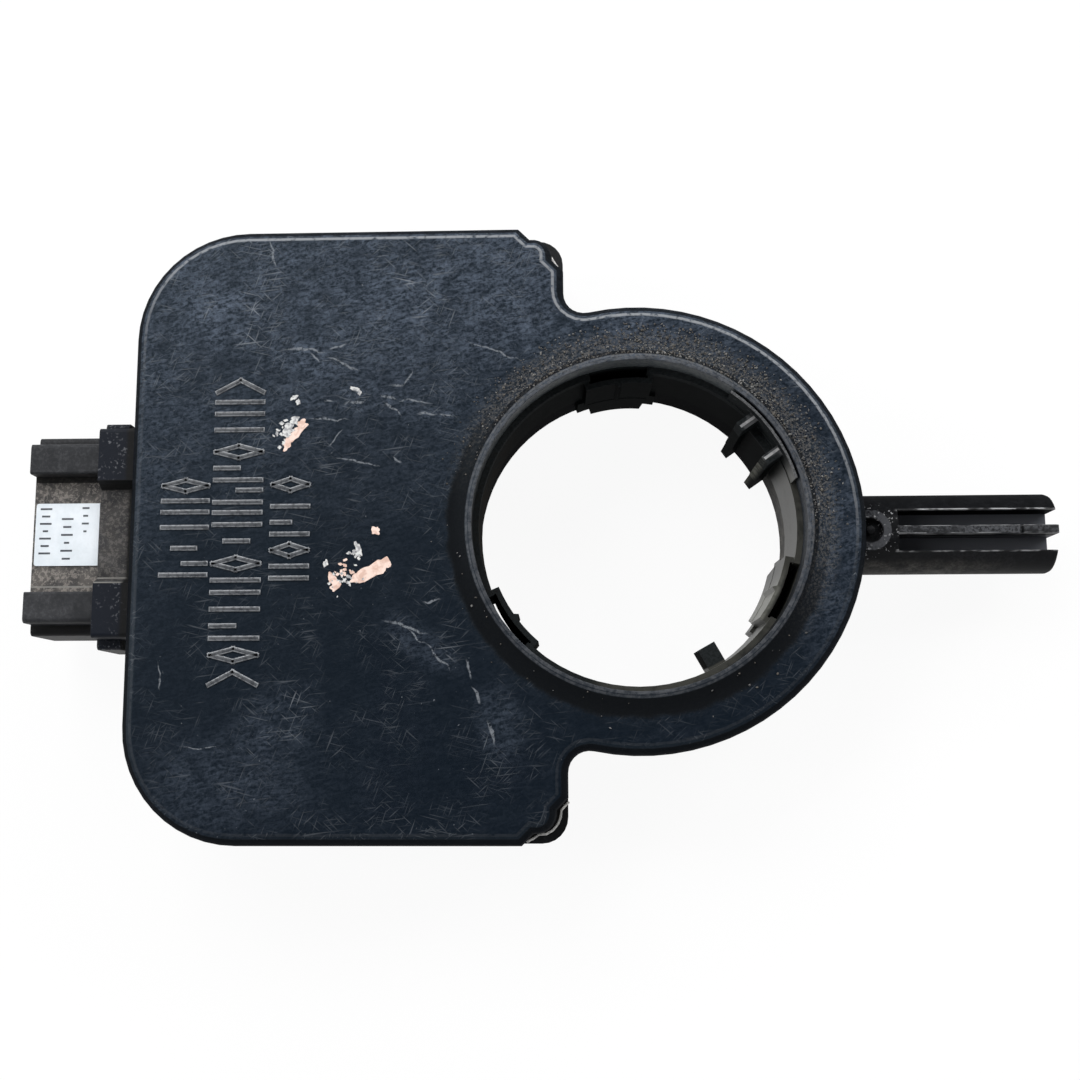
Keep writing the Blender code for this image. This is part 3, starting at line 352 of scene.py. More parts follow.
def housingPlastic(look):    # the lower shell and the guide arm
    at = look["at"]
    s = Surface("housing_black", look["roughness"], ior=look["ior"])
    s.set(Specular_IOR_Level=look["shine"])
    cloudy = s.noise(7, 4.0) * 0.5 + s.noise(1.3, 3.0) * 0.5
    grain = s.noise(0.34, 3.0, roughness=0.65)
    speck = grain.step(0.36, 0.62)
    colour = (cloudy.step(0.36, 0.68) * grain.step(0.3, 0.7)).blend(look["dark"], look["light"])
    # the rib along the arm, rough for a stretch, and the rubbed rims of rib and groove
    across = abs(s.y)
    arm = s.x.step(*at["armX"])
    top = s.z.step(*at["topZ"])
    rib = across.step(look["ribHalf"] + 0.12, look["ribHalf"] - 0.05) * s.x.step(*at["ribX"]) * top
    stretch = s.x.between(*at["roughX"], 0.3)
    worn = s.noise(0.8, 3.0, s.turned(0.0, (1.6, 1, 1))).step(0.36, 0.58)
    colour = (rib * (0.10 + 0.75 * speck * worn + 0.6 * stretch * speck)).blend(colour, look["rib"])
    rims = abs(across - look["grooveHalf"]).step(0.22, 0.08) * s.x.step(*at["rimX"]) * s.z.step(*at["rimZ"])
    ribRim = abs(across - look["ribHalf"]).step(0.12, 0.03) * s.x.step(*at["ribRimX"]) * top
    broken = s.noise(0.8, 3.0, s.turned(0.0, (2.2, 1, 1))).step(0.40, 0.60)
    colour = (rims.largest(ribRim * 0.65) * broken).blend(colour, look["rubbed"])
    # the boss at the arm's root
    fromBoss = s.radius(*look["boss"])
    ring = fromBoss.between(*at["ringR"], 0.15) * s.z.step(*at["ringZ"]) * arm
    outward = (s.x - look["boss"][0] - s.y * 0.2).step(-0.4, 1.2)
    colour = (ring * (0.15 + 0.6 * speck + 0.6 * outward)).blend(colour, look["rib"])
    chips = fromBoss.between(*at["chipsR"], 0.3) * arm * top * s.noise(0.45, 2.0).step(0.62, 0.70)
    colour = (chips * 0.8).blend(colour, look["rubbed"])
    # painted light on the right side of the bore's wall, in the dust colour; dust along the arm's lower side
    # and in its groove
    shaft = s.radius().step(*at["shaftR"])
    right = shaft * (s.x - s.y * 0.6).step(*at["rightX"])
    colour = (right * cloudy.step(0.30, 0.62)).blend(colour, look["dust"])
    low = arm * s.y.step(*at["lowY"]) * s.noise(1.6, 4.0).step(0.22, 0.74) * s.x.step(*at["lowX"])
    colour = (low * (0.40 + 0.40 * speck)).blend(colour, look["dust"])
    deep = arm * across.step(look["grooveHalf"], look["grooveHalf"] - 0.2) * s.z.step(*at["grooveZ"])
    colour = deep.blend(colour, look["grooveDust"])
    s.set(Base_Color=colour, Roughness=look["roughness"] + (cloudy - 0.5) * 0.2 + rib * 0.1,
          Normal=s.bump(grain * 0.8 + stretch * rib * s.noise(0.5, 3.0) * 2.5, 0.03, 0.8))
    armDull = arm * (1 - rib) * (1 - rims) * (0.55 + 0.35 * s.y.step(*at["upperWallY"]))
    s.dull((shaft * (0.95 - 0.35 * right)).largest(armDull), colour)
    return s.material


rotorLook = {
    # light: colour of the painted light on the right side of the bore
    "dark": rgb(0.0055, 0.0064, 0.0067), "light": rgb(0.042, 0.042, 0.037),
    "highlightAndReflection": rgb(0.17, 0.17, 0.15), "brown": rgb(0.030, 0.021, 0.014),
    "worn": rgb(0.105, 0.106, 0.11), "ledgePaintedLight": rgb(0.018, 0.0205, 0.0215),
    "roughness": 0.42, "ior": 1.40, "shine": 0.22,
    "at": {"fingerX": (6.0, 11.6), "fingerY": (-13.2, -13.6), "fingerR": (19.4, 19.1),
           "rightX": (9.5, 14), "lowRight": (13.5, 17), "clipR": (19.2, 18.8), "clipX": (11.5, 13),
           "ribR": (17.5, 17.35), "ribX": (14.7, 15.0), "ribY": (4, 5), "leftX": (-14, -19),
           "ledgeZ": (-3.7, -3.5), "lugZ": (1.05, 1.2), "edgeZ": (-0.30, -0.16)}}


def rotorPlastic(look):
    at = look["at"]
    s = Surface("rotor_black", look["roughness"], ior=look["ior"])
    s.set(Specular_IOR_Level=look["shine"])
    radius = s.radius()
    cloudy = s.noise(5, 4.0) * 0.5 + s.noise(1.1, 3.0) * 0.5
    grain = s.noise(0.32, 3.0, roughness=0.65)
    # painted light: the right side, which the upper-left lamps reach, is painted lighter, apart from the
    # finger; the left is brownish
    finger = s.x.between(*at["fingerX"], 0.3) * s.y.step(*at["fingerY"]) * radius.step(*at["fingerR"])
    side = (s.x - s.y * 0.9).step(*at["rightX"]) * (1 - finger)
    colour = (side * cloudy.step(0.26, 0.56)).blend(look["dark"], look["light"])
    # painted reflection on the lower right clip and painted highlights at the inner ends of the key ribs, the
    # palest places
    clip = (s.x * 0.5 - s.y).step(*at["lowRight"]) * radius.step(*at["clipR"]) * s.x.step(*at["clipX"])
    ribEnd = radius.step(*at["ribR"]) * s.x.step(*at["ribX"]) * s.y.step(*at["ribY"])
    colour = (clip.largest(ribEnd) * (0.35 + 0.5 * cloudy.step(0.36, 0.6))).blend(colour, look["highlightAndReflection"])
    colour = (s.x.step(*at["leftX"]) * cloudy.step(0.36, 0.6) * 0.4).blend(colour, look["brown"])
    # painted light: the parts near the top, in shade under the lip, are painted lighter, apart from the right
    # side
    ledges = s.z.step(*at["ledgeZ"]) * (1 - side)
    colour = (ledges * (0.5 + 0.5 * grain.step(0.36, 0.6))).blend(colour, look["ledgePaintedLight"])
    lug = s.z.step(*at["lugZ"])
    colour = (lug * (0.25 + 0.65 * grain.step(0.36, 0.60))).blend(colour, look["worn"])
    # painted highlights along the tabs' top edges, in the worn colour
    edges = s.z.between(*at["edgeZ"], 0.05) * s.noise(1.2, 2.0).step(0.44, 0.6)
    colour = (edges * 0.5).blend(colour, look["worn"])
    s.set(Base_Color=colour, Roughness=look["roughness"] + (cloudy - 0.5) * 0.2,
          Normal=s.bump(grain * 0.6 + s.noise(0.9, 2.0) * 0.4, 0.018, 0.5))
    s.dull((1 - side) * (1 - lug) * 0.95, colour)
    return s.material


headerLook = {
    "dark": rgb(0.014, 0.015, 0.017), "light": rgb(0.046, 0.047, 0.051), "navy": rgb(0.0040, 0.0060, 0.0110),
    # grime: colour of painted shade and shadow; worn: colour of painted highlights on the edges of steps
    "dust": rgb(0.225, 0.205, 0.186), "paintedShade": rgb(0.0035, 0.0035, 0.0035), "worn": rgb(0.21, 0.205, 0.19),
    "speck": rgb(0.105, 0.110, 0.122), "roughness": 0.58, "shine": 0.16,
    "at": {"lowerY": (2, -2), "topZ": (-7.5, -6.5), "collarX": (-67.95, -67.7), "recessZ": (-3.3, -3.6),
           "recessY": (7.6, 7.2), "collarEndsY": (6.3, 6.6), "wingWallY": (6.75, 7.45),
           "collarWallY": (5.6, 6.5), "outerY": (11.45, 11.6), "shadeX": (-64.5, -63.9),
           "wingHighlightY": (-6.75, -6.6), "collarHighlightY": -6.05, "collarHighlightHalf": 0.35}}


def headerPlastic(look):    # grey wings, a dusty brown recess round the label, a dark collar
    at = look["at"]
    s = Surface("header_brown_grey", look["roughness"])
    s.set(Specular_IOR_Level=look["shine"])
    cloudy = s.noise(9, 4.0) * 0.5 + s.noise(1.7, 3.0) * 0.5
    grain = s.noise(0.42, 4.0, roughness=0.7)
    specks = grain.step(0.47, 0.60)
    side = s.y.step(*at["lowerY"])    # the lower half is lighter
    grey = cloudy.step(0.34, 0.66) * (0.30 + 0.35 * side + 0.55 * specks)
    colour = grey.blend(look["dark"], look["light"])
    # dust in the recess
    across = abs(s.y)
    top = s.z.step(*at["topZ"])
    collar = s.x.step(*at["collarX"]) * top
    wings = 1 - collar
    low = s.z.step(*at["recessZ"]) * across.step(*at["recessY"]) * top
    lying = s.noise(2.4, 4.0).step(0.40, 0.62)
    colour = (low * (0.14 + 0.22 * lying + 0.55 * specks) * (1 - 0.62 * collar)).blend(colour, look["dust"])
    # the collar's dark ends with pale specks
    ends = collar * across.step(*at["collarEndsY"])
    colour = ends.blend(colour, look["navy"])
    spotted = s.noise(0.40, 3.0).step(0.56, 0.66) * s.noise(2.2, 3.0).step(0.44, 0.60)
    colour = (ends * spotted * 0.85).blend(colour, look["speck"])
    # painted shade on the walls beside the recess and outside the wings, and a painted shadow next to the
    # cover
    walls = (s.y.between(*at["wingWallY"], 0.10) * wings).largest(
        s.y.between(*at["collarWallY"], 0.12) * collar)
    outer = across.step(*at["outerY"]) * wings * (0.35 + 0.65 * side)
    shade = s.x.step(*at["shadeX"])
    colour = (walls * 0.92).largest(outer * 0.85).largest(shade * 0.92).blend(colour, look["paintedShade"])
    # painted highlights: pale lines along the lower wing and the collar, on the edges of their steps
    collarHighlights = abs(abs(s.y - at["collarHighlightY"]) - at["collarHighlightHalf"]).step(0.16, 0.05) * collar
    lines = (s.y.between(*at["wingHighlightY"], 0.08) * wings).largest(collarHighlights)
    colour = (lines * top * 0.75 * (1 - shade)).blend(colour, look["worn"])
    s.set(Base_Color=colour, Roughness=look["roughness"] + (cloudy - 0.5) * 0.18 + low * 0.15,
          Normal=s.bump(grain, 0.03, 0.8))
    return s.material


# rim: colour of painted highlights on the strokes' rounded sides
marksLook = {"dark": coverLook["dark"], "rim": rgb(0.25, 0.26, 0.275), "roughness": 0.40, "ior": 1.42,
             "at": {"sidesZ": (0.02, 0.08), "flatTopZ": (0.195, 0.215)}}


def marksPlastic(look):    # as the cover, with the rims of the strokes painted pale as highlights, while the flat tops stay dark
    at = look["at"]
    s = Surface("raised_marks", look["roughness"], ior=look["ior"])
    grain = s.noise(0.4, 3.0)
    rims = s.z.step(*at["sidesZ"]) * (1 - 0.75 * s.z.step(*at["flatTopZ"]))
    colour = (rims * (0.35 + 0.65 * grain.step(0.34, 0.56))).blend(look["dark"], look["rim"])
    s.set(Base_Color=colour, Normal=s.bump(grain, 0.02, 0.5))
    return s.material


boardLook = {"bare": rgb(0.012, 0.095, 0.045), "track": rgb(0.020, 0.15, 0.065),
             "weave": rgb(0.03, 0.16, 0.07), "roughness": 0.38,
             "trackLength": 4.2, "trackPitch": 1.27, "trackGap": 0.16}


def boardFinish(look):
    s = Surface("solder_resist", look["roughness"])
    tracks = s.start.node("ShaderNodeTexBrick", {"offset": 0.5, "squash": 1.0}, {
        "Vector": s.place, "Scale": 1.0, "Mortar Size": look["trackGap"], "Brick Width": look["trackLength"],
        "Row Height": look["trackPitch"],
        "Color1": rgb(1, 1, 1), "Color2": rgb(1, 1, 1), "Mortar": rgb(0, 0, 0)}, out=1)
    weave = s.noise(0.4, 2.0)
    colour = tracks.blend(look["bare"], look["track"])
    s.set(Base_Color=(weave * 0.25).blend(colour, look["weave"]),
          Normal=s.bump(tracks * 0.8 + weave * 0.2, 0.03, 0.6))
    return s.material


def metal(name, colour, worn, roughness):    # with fine marks from drawing or grinding
    s = Surface(name, roughness, metallic=1.0)
    cloudy = s.noise(1.2, 3.0)
    s.set(Base_Color=cloudy.step(0.35, 0.7).blend(colour, worn), Roughness=roughness + (cloudy - 0.5) * 0.2,
          Normal=s.bump(s.noise(1, 2.0, s.turned(0.0, (2.0, 0.08, 0.08))), 0.004, 0.5))
    return s.material


def crustFinish(name, colour, worn, size=0.5):    # paint, grit, and pale strips that are painted highlights, in two tones
    s = Surface(name, 0.62)
    mask = s.noise(size, 3.0).step(0.42, 0.62)
    s.set(Base_Color=mask.blend(colour, worn), Normal=s.bump(s.noise(size * 0.5, 3.0), 0.03, 0.7))
    return s.material


finish = {
    "cover": coverPlastic(coverLook), "marks": marksPlastic(marksLook),
    "housing": housingPlastic(housingLook), "rotor": rotorPlastic(rotorLook),
    "header": headerPlastic(headerLook),
    "gear": mouldedPlastic("gear_acetal", rgb(0.68, 0.66, 0.58), rgb(0.76, 0.74, 0.67), 0.42),
    "chip": mouldedPlastic("chip_black", rgb(0.012, 0.012, 0.013), rgb(0.025, 0.025, 0.027), 0.45),
    "ceramic": mouldedPlastic("capacitor_ceramic", rgb(0.40, 0.29, 0.17), rgb(0.52, 0.41, 0.28), 0.45),
    "board": boardFinish(boardLook),
    "magnet": metal("sintered_magnet", rgb(0.11, 0.11, 0.12), rgb(0.20, 0.20, 0.21), 0.55),
    "tin": metal("tin_plate", rgb(0.62, 0.60, 0.55), rgb(0.72, 0.71, 0.68), 0.30),
    "can": metal("crystal_can", rgb(0.60, 0.60, 0.60), rgb(0.72, 0.72, 0.72), 0.30),
    "label": mouldedPlastic("label_film", rgb(0.60, 0.65, 0.69), rgb(0.70, 0.74, 0.78), 0.55, gloss=0.4,
                            dust=rgb(0.30, 0.29, 0.27), dustShare=0.10),
    "print": mouldedPlastic("label_print", rgb(0.035, 0.040, 0.050), rgb(0.09, 0.10, 0.11), 0.6),
    "peach": crustFinish("peach_paint", rgb(0.80, 0.62, 0.54), rgb(0.62, 0.42, 0.34), 0.9),
    "pale": crustFinish("pale_paint", rgb(0.62, 0.62, 0.61), rgb(0.30, 0.30, 0.31)),
    "grit": crustFinish("brown_grit", rgb(0.036, 0.031, 0.025), rgb(0.090, 0.080, 0.068)),
    "greyGrit": crustFinish("grey_grit", rgb(0.045, 0.045, 0.044), rgb(0.155, 0.152, 0.146)),
    # edge and bead: pale strips that are painted highlights, on the key ribs and at the cover's foot
    "edge": crustFinish("rib_edge_highlight", rgb(0.34, 0.34, 0.34), rgb(0.22, 0.22, 0.225), 0.7),
    "seamHighlight": crustFinish("seam_highlight", rgb(0.62, 0.61, 0.59), rgb(0.42, 0.41, 0.40)),
}
print("finishes ready", len(finish))


# pieces
def dress(item, material):
    for slot in item.material_slots:
        slot.material = material
    if not item.material_slots:
        item.data.materials.append(material)


def addMesh(name, mesh, material, body="housing", smooth=None):    # smooth is the sharp edges' least angle
    mesh.materials.clear()
    mesh.materials.append(material)
    for polygon in mesh.polygons:
        polygon.use_smooth = smooth is not None
    if smooth:
        mesh.set_sharp_from_angle(angle=math.radians(smooth))
    item = bpy.data.objects.new(name, mesh)
    bpy.context.scene.collection.objects.link(item)
    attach(item, body)
    return item


def addPiece(name, shape, material, body="housing", smooth=None):
    mesh = bpy.data.meshes.new(name)
    bmesh.ops.recalc_face_normals(shape, faces=shape.faces)
    shape.to_mesh(mesh)
    shape.free()
    item = addMesh(name, mesh, material, body, smooth)
    return item


def turn(shape, verts, angle, middle=(0.0, 0.0, 0.0)):    # about an upright axis
    bmesh.ops.rotate(shape, verts=verts, cent=middle, matrix=Matrix.Rotation(angle, 3, "Z"))


shells = {    # CAD node: name, finish, body, width of its rounded edges, slot
    "upper_cover": ("cover_shell", "cover", "housing", 0.14, "cover_plastic"),
    "lower_housing": ("housing_shell", "housing", "housing", 0.14, "housing_plastic"),
    "rotor": ("rotor_ring", "rotor", "rotor", 0.08, "rotor_plastic"),
    "connector_header": ("header_shell", "header", "housing", 0.14, "header_plastic")}
# vertices closer than merge become one, faces flatter than flat one face; edges past sharp are rounded
refining = {"merge": 0.002, "flat": 0.6, "sharp": 36, "smooth": 50, "segments": 2, "evenness": 60}


def refine(node, name, material, body, width):    # a merged copy of a CAD node, its edges rounded
    shape = bmesh.new()
    shape.from_mesh(frame["nodes"][node].data)
    bmesh.ops.remove_doubles(shape, verts=shape.verts, dist=refining["merge"] * mm)
    bmesh.ops.dissolve_limit(shape, angle_limit=math.radians(refining["flat"]), verts=shape.verts,
                             edges=shape.edges)
    mesh = bpy.data.meshes.new(name)
    shape.to_mesh(mesh)
    shape.free()
    item = addMesh(name, mesh, material, body, smooth=refining["smooth"])
    rounding = item.modifiers.new("rounding", "BEVEL")
    rounding.width, rounding.segments = width * mm, refining["segments"]
    rounding.limit_method, rounding.angle_limit = "ANGLE", math.radians(refining["sharp"])
    weighting = item.modifiers.new("even_shading", "WEIGHTED_NORMAL")
    weighting.keep_sharp, weighting.weight = True, refining["evenness"]
    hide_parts(node)


for node, (name, kind, body, width, slotName) in shells.items():
    refine(node, name, finish[kind], body, width)
print("shells refined")

# lower ends of the rotor's clips and key ribs, and the web between the ribs; angles in degrees
rotorFeet = {"bottom": -17.3, "inside": 18.55, "outside": 19.85, "joinLevel": -11.5,
             "clips": (-24.2, 95.8, 215.8), "sweep": 24.0, "taper": 1.8, "clipBack": 19.25,
             "backInside": 19.15, "backBottom": -16.7, "backTop": -12.1, "backSweep": 31.0,
             "key": 34.8, "webSweep": 15.0, "webInside": 18.7, "webBottom": -17.0, "webTop": -3.1,
             "ribInside": 17.25, "ribOutside": 19.4, "ribHalf": 0.6, "ribAcross": (2.6, -2.6), "steps": 10}


def addBand(shape, inside, outside, low, high, middle, sweep, taper=0.0):    # a piece of a ring
    first = [shape.verts.new(spot(x, 0, z)) for x, z in
             ((inside, low), (outside, low), (outside, high), (inside, high))]
    face = shape.faces.new(first)
    axis = spot(0, 0)
    turn(shape, first, math.radians(middle - sweep / 2), axis)
    spun = bmesh.ops.spin(shape, geom=[face], cent=axis, axis=(0, 0, 1), angle=math.radians(sweep),
                          steps=rotorFeet["steps"])
    last = [v for v in spun["geom_last"] if isinstance(v, bmesh.types.BMVert)]
    halfway = spot(0, 0, (low + high) / 2).z
    for end, inward in ((first, taper), (last, -taper)):    # narrower at its lower end
        turn(shape, [v for v in end if v.co.z < halfway], math.radians(inward), axis)


def addBlock(shape, low, high, angle):    # a box between two corners, turned about the bore's axis
    verts = bmesh.ops.create_cube(shape, size=1.0)["verts"]
    bmesh.ops.scale(shape, verts=verts, vec=[(b - a) * mm for a, b in zip(low, high)])
    bmesh.ops.translate(shape, verts=verts, vec=spot(*((a + b) / 2 for a, b in zip(low, high))))
    turn(shape, verts, math.radians(angle), spot(0, 0))


feet = rotorFeet
shape = bmesh.new()
for angle in feet["clips"]:
    addBand(shape, feet["inside"], feet["clipBack"], feet["bottom"], feet["joinLevel"], angle,
            feet["sweep"], feet["taper"])
addPiece("clip_feet", shape, finish["rotor"], "rotor")
shape = bmesh.new()
for angle in feet["clips"]:
    addBand(shape, feet["backInside"], feet["outside"], feet["backBottom"], feet["backTop"], angle,
            feet["backSweep"])
addPiece("clip_foot_backs", shape, finish["rotor"], "rotor")
shape = bmesh.new()
addBand(shape, feet["webInside"], feet["outside"], feet["webBottom"], feet["webTop"], feet["key"],
        feet["webSweep"])
for across in feet["ribAcross"]:
    addBlock(shape, (feet["ribInside"], across - feet["ribHalf"], feet["bottom"]),
             (feet["ribOutside"], across + feet["ribHalf"], feet["joinLevel"]), feet["key"])
addPiece("key_foot", shape, finish["rotor"], "rotor")

# painted highlights: pale strips on the key ribs' edges
ribEdgeHighlights = {"half": 0.17, "low": -0.22, "high": -0.15, "inside": 17.35, "outside": 19.5,
             "across": (2.55, -2.35)}
shape = bmesh.new()
for across in ribEdgeHighlights["across"]:
    addBlock(shape, (ribEdgeHighlights["inside"], across - ribEdgeHighlights["half"], ribEdgeHighlights["low"]),
             (ribEdgeHighlights["outside"], across + ribEdgeHighlights["half"], ribEdgeHighlights["high"]), feet["key"])
addPiece("rib_edge_highlights", shape, finish["edge"], "rotor")
print("rotor feet added")

dressing = {"gear": ("measuring_gear_a", "measuring_gear_b"), "magnet": ("magnet_a", "magnet_b"),
            "board": ("circuit_board",), "can": ("crystal",), "label": ("label",),
            "chip": ("field_sensor_a", "field_sensor_b", "microcontroller", "bus_transceiver",
                     "voltage_regulator")}
for kind, nodes in dressing.items():
    for node in nodes:
        dress(frame["nodes"][node], finish[kind])
for node, item in frame["nodes"].items():
    if node.startswith("terminal_"):
        dress(item, finish["tin"])
    if node.startswith("capacitor_"):
        dress(item, finish["ceramic"])

# raised marks: plain strokes and lozenges in three rows, no lettering
raisedMarks = {
    # name of a row, x from and to, y of its first and last mark, kinds of mark
    "rows": [("long", -52.1, -46.4, 19.2, -19.9, "v p b d h l p x d p b h d v"),
             ("left", -58.5, -53.0, 6.5, -6.5, "d p b x l"),
             ("right", -44.9, -40.5, 6.6, -7.0, "d b h d p")],
    "stroke": 0.62, "height": 0.22, "sunk": 0.06, "rounded": 0.72, "reach": 0.27}


def addBar(shape, start, end):    # a stroke from one point to another, its top edges rounded
    (ax, ay), (bx, by) = start, end
    stroke, height, sunk = raisedMarks["stroke"], raisedMarks["height"], raisedMarks["sunk"]
    length = math.dist(start, end) + stroke
    verts = bmesh.ops.create_cube(shape, size=1.0)["verts"]
    bmesh.ops.scale(shape, verts=verts, vec=(length * mm, stroke * mm, (height + sunk) * mm))
    turn(shape, verts, math.atan2(by - ay, bx - ax))
    bmesh.ops.translate(shape, verts=verts, vec=spot((ax + bx) / 2, (ay + by) / 2, (height - sunk) / 2))
    top = {e for v in verts for e in v.link_edges if all(w.co.z > faceZ for w in e.verts)}
    bmesh.ops.bevel(shape, geom=list(top), offset=height * raisedMarks["rounded"] * mm, segments=2,
                    profile=0.5, affect="EDGES", material=-1)


def addMark(shape, kind, low, high, y, reach):
    middle, quarter = (low + high) / 2, (high - low) / 4
    strokes = {
        "b": [((low, y), (high, y))],    # one bar
        "p": [((low, y - reach), (high, y - reach)), ((low, y + reach), (high, y + reach))],    # a pair
        # a long and a short stroke, the short one at either end
        "h": [((low, y - reach), (high, y - reach)), ((low, y + reach), (middle, y + reach))],
        "l": [((low, y - reach), (high, y - reach)), ((middle, y + reach), (high, y + reach))],
        "x": [((low + quarter, y), (high - quarter, y))],    # a short bar
        "v": [((low, y - reach), (middle, y + reach)), ((middle, y + reach), (high, y - reach))],
        "d": [((low, y), (middle, y + reach)), ((middle, y + reach), (high, y)),    # a lozenge
              ((high, y), (middle, y - reach)), ((middle, y - reach), (low, y))]}
    for start, end in strokes[kind]:
        addBar(shape, start, end)


for name, low, high, start, end, kinds in raisedMarks["rows"]:
    kinds = kinds.split()
    pitch = (end - start) / len(kinds)
    shape = bmesh.new()
    for index, kind in enumerate(kinds):
        addMark(shape, kind, low, high, start + pitch * (index + 0.5), abs(pitch) * raisedMarks["reach"])
    addPiece(f"raised_marks_{name}", shape, finish["marks"], smooth=40)

# label print: plain strokes, whose lengths follow a short pattern
labelPrint = {"top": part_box("label")[1][2], "thick": 0.02, "stroke": 0.24, "pattern": (1.0, 0.7, 1.0, 0.45),
              # middle of a row, half length of its strokes, first and last y, how many
              "rows": [(-75.0, 0.75, 3.3, -2.4, 7), (-72.2, 0.75, 2.0, -3.1, 6), (-69.9, 0.45, 3.4, 0.4, 4)]}
shape = bmesh.new()
for middle, half, start, end, count in labelPrint["rows"]:
    for index in range(count):
        reach = half * labelPrint["pattern"][index % len(labelPrint["pattern"])]
        verts = bmesh.ops.create_cube(shape, size=1.0)["verts"]
        bmesh.ops.scale(shape, verts=verts, vec=(2 * reach * mm, labelPrint["stroke"] * mm,
                                                 labelPrint["thick"] * mm))
        place = spot(middle, start + (end - start) * index / (count - 1))
        place.z = labelPrint["top"] + labelPrint["thick"] / 2 * mm
        bmesh.ops.translate(shape, verts=verts, vec=place)
addPiece("label_print", shape, finish["print"])
print("marks and label done")

# paint stuck to the face: middle, half length and width, turn
flakes = {
    "thick": (0.03, 0.08), "sunk": 0.01, "sides": 20, "ragged": 0.09,
    "lobes": ((2, 0.15), (4, 0.15), (7, 0.10)),    # how many round a flake, and how far they reach
    "crumbSize": (0.10, 0.28), "crumbWidth": 0.7, "crumbSpread": 0.5,
    "peach": [(-42.3, 11.6, 1.7, 0.55, 0.85), (-43.2, 10.3, 0.8, 0.40, 1.1), (-41.5, 12.9, 0.7, 0.5, 0.6),
              (-32.6, -5.6, 1.9, 1.0, 0.42), (-31.1, -4.8, 0.9, 0.8, 0.3), (-34.3, -6.4, 0.8, 0.6, 0.2),
              (-37.3, -6.6, 0.5, 0.8, 0.3), (-36.9, -7.4, 0.8, 0.4, 0.7), (-32.1, -0.6, 0.5, 0.55, 0.1)],
    "pale": [(-42.5, 16.3, 0.45, 0.30, 0.5), (-42.0, 15.7, 0.25, 0.4, 0.1), (-34.9, 17.3, 0.6, 0.25, -0.4),
             (-34.3, 16.8, 0.35, 0.2, 1.2), (-38.2, -4.6, 0.3, 0.45, 0.0), (-34.2, -2.8, 0.35, 0.9, 0.3),
             (-43.2, 12.3, 0.9, 0.5, 0.8), (-42.4, 13.4, 0.6, 0.45, 0.3), (-44.0, 13.0, 0.35, 0.2, 0.0)],
    # middle of a crumbled patch, half length and width, turn, crumbs, kind
    "crumbs": [(-43.4, 11.9, 1.9, 1.3, 0.8, 26, "pale"), (-36.3, -6.6, 2.0, 1.1, 0.35, 26, "pale"),
               (-36.0, -5.9, 2.0, 0.9, 0.3, 16, "peach"), (-34.6, -3.4, 0.6, 1.1, 0.2, 8, "pale")]}
dice = random.Random(11)


def addFlake(shape, x, y, length, width, angle):
    rim = bmesh.ops.create_circle(shape, cap_ends=True, segments=flakes["sides"], radius=1.0)["verts"]
    phases = [dice.uniform(0, 6.3) for _ in flakes["lobes"]]
    for vert in rim:
        around = math.atan2(vert.co.y, vert.co.x)
        waves = (reach * math.sin(lobes * around + phase)
                 for (lobes, reach), phase in zip(flakes["lobes"], phases))
        wobble = 1 + sum(waves) + dice.uniform(-flakes["ragged"], flakes["ragged"])
        vert.co = Vector((vert.co.x * length * wobble, vert.co.y * width * wobble, 0)) * mm
    turn(shape, rim, angle)
    bmesh.ops.translate(shape, verts=rim, vec=spot(x, y, -flakes["sunk"]))
    lifted = bmesh.ops.extrude_face_region(shape, geom=[rim[0].link_faces[0]])
    top = [v for v in lifted["geom"] if isinstance(v, bmesh.types.BMVert)]
    bmesh.ops.translate(shape, verts=top, vec=(0, 0, dice.uniform(*flakes["thick"]) * mm))


for colour in ("peach", "pale"):
    shape = bmesh.new()
    for flake in flakes[colour]:
        addFlake(shape, *flake)
    for x, y, length, width, angle, count, kind in flakes["crumbs"]:
        for _ in range(count if kind == colour else 0):
            along = dice.gauss(0, flakes["crumbSpread"]) * length
            across = dice.gauss(0, flakes["crumbSpread"]) * width
            size = dice.uniform(*flakes["crumbSize"])
            addFlake(shape, x + along * math.cos(angle) - across * math.sin(angle),
                     y + along * math.sin(angle) + across * math.cos(angle), size,
                     size * flakes["crumbWidth"], dice.uniform(0, 3.1))
    addPiece(f"paint_flakes_{colour}", shape, finish[colour])

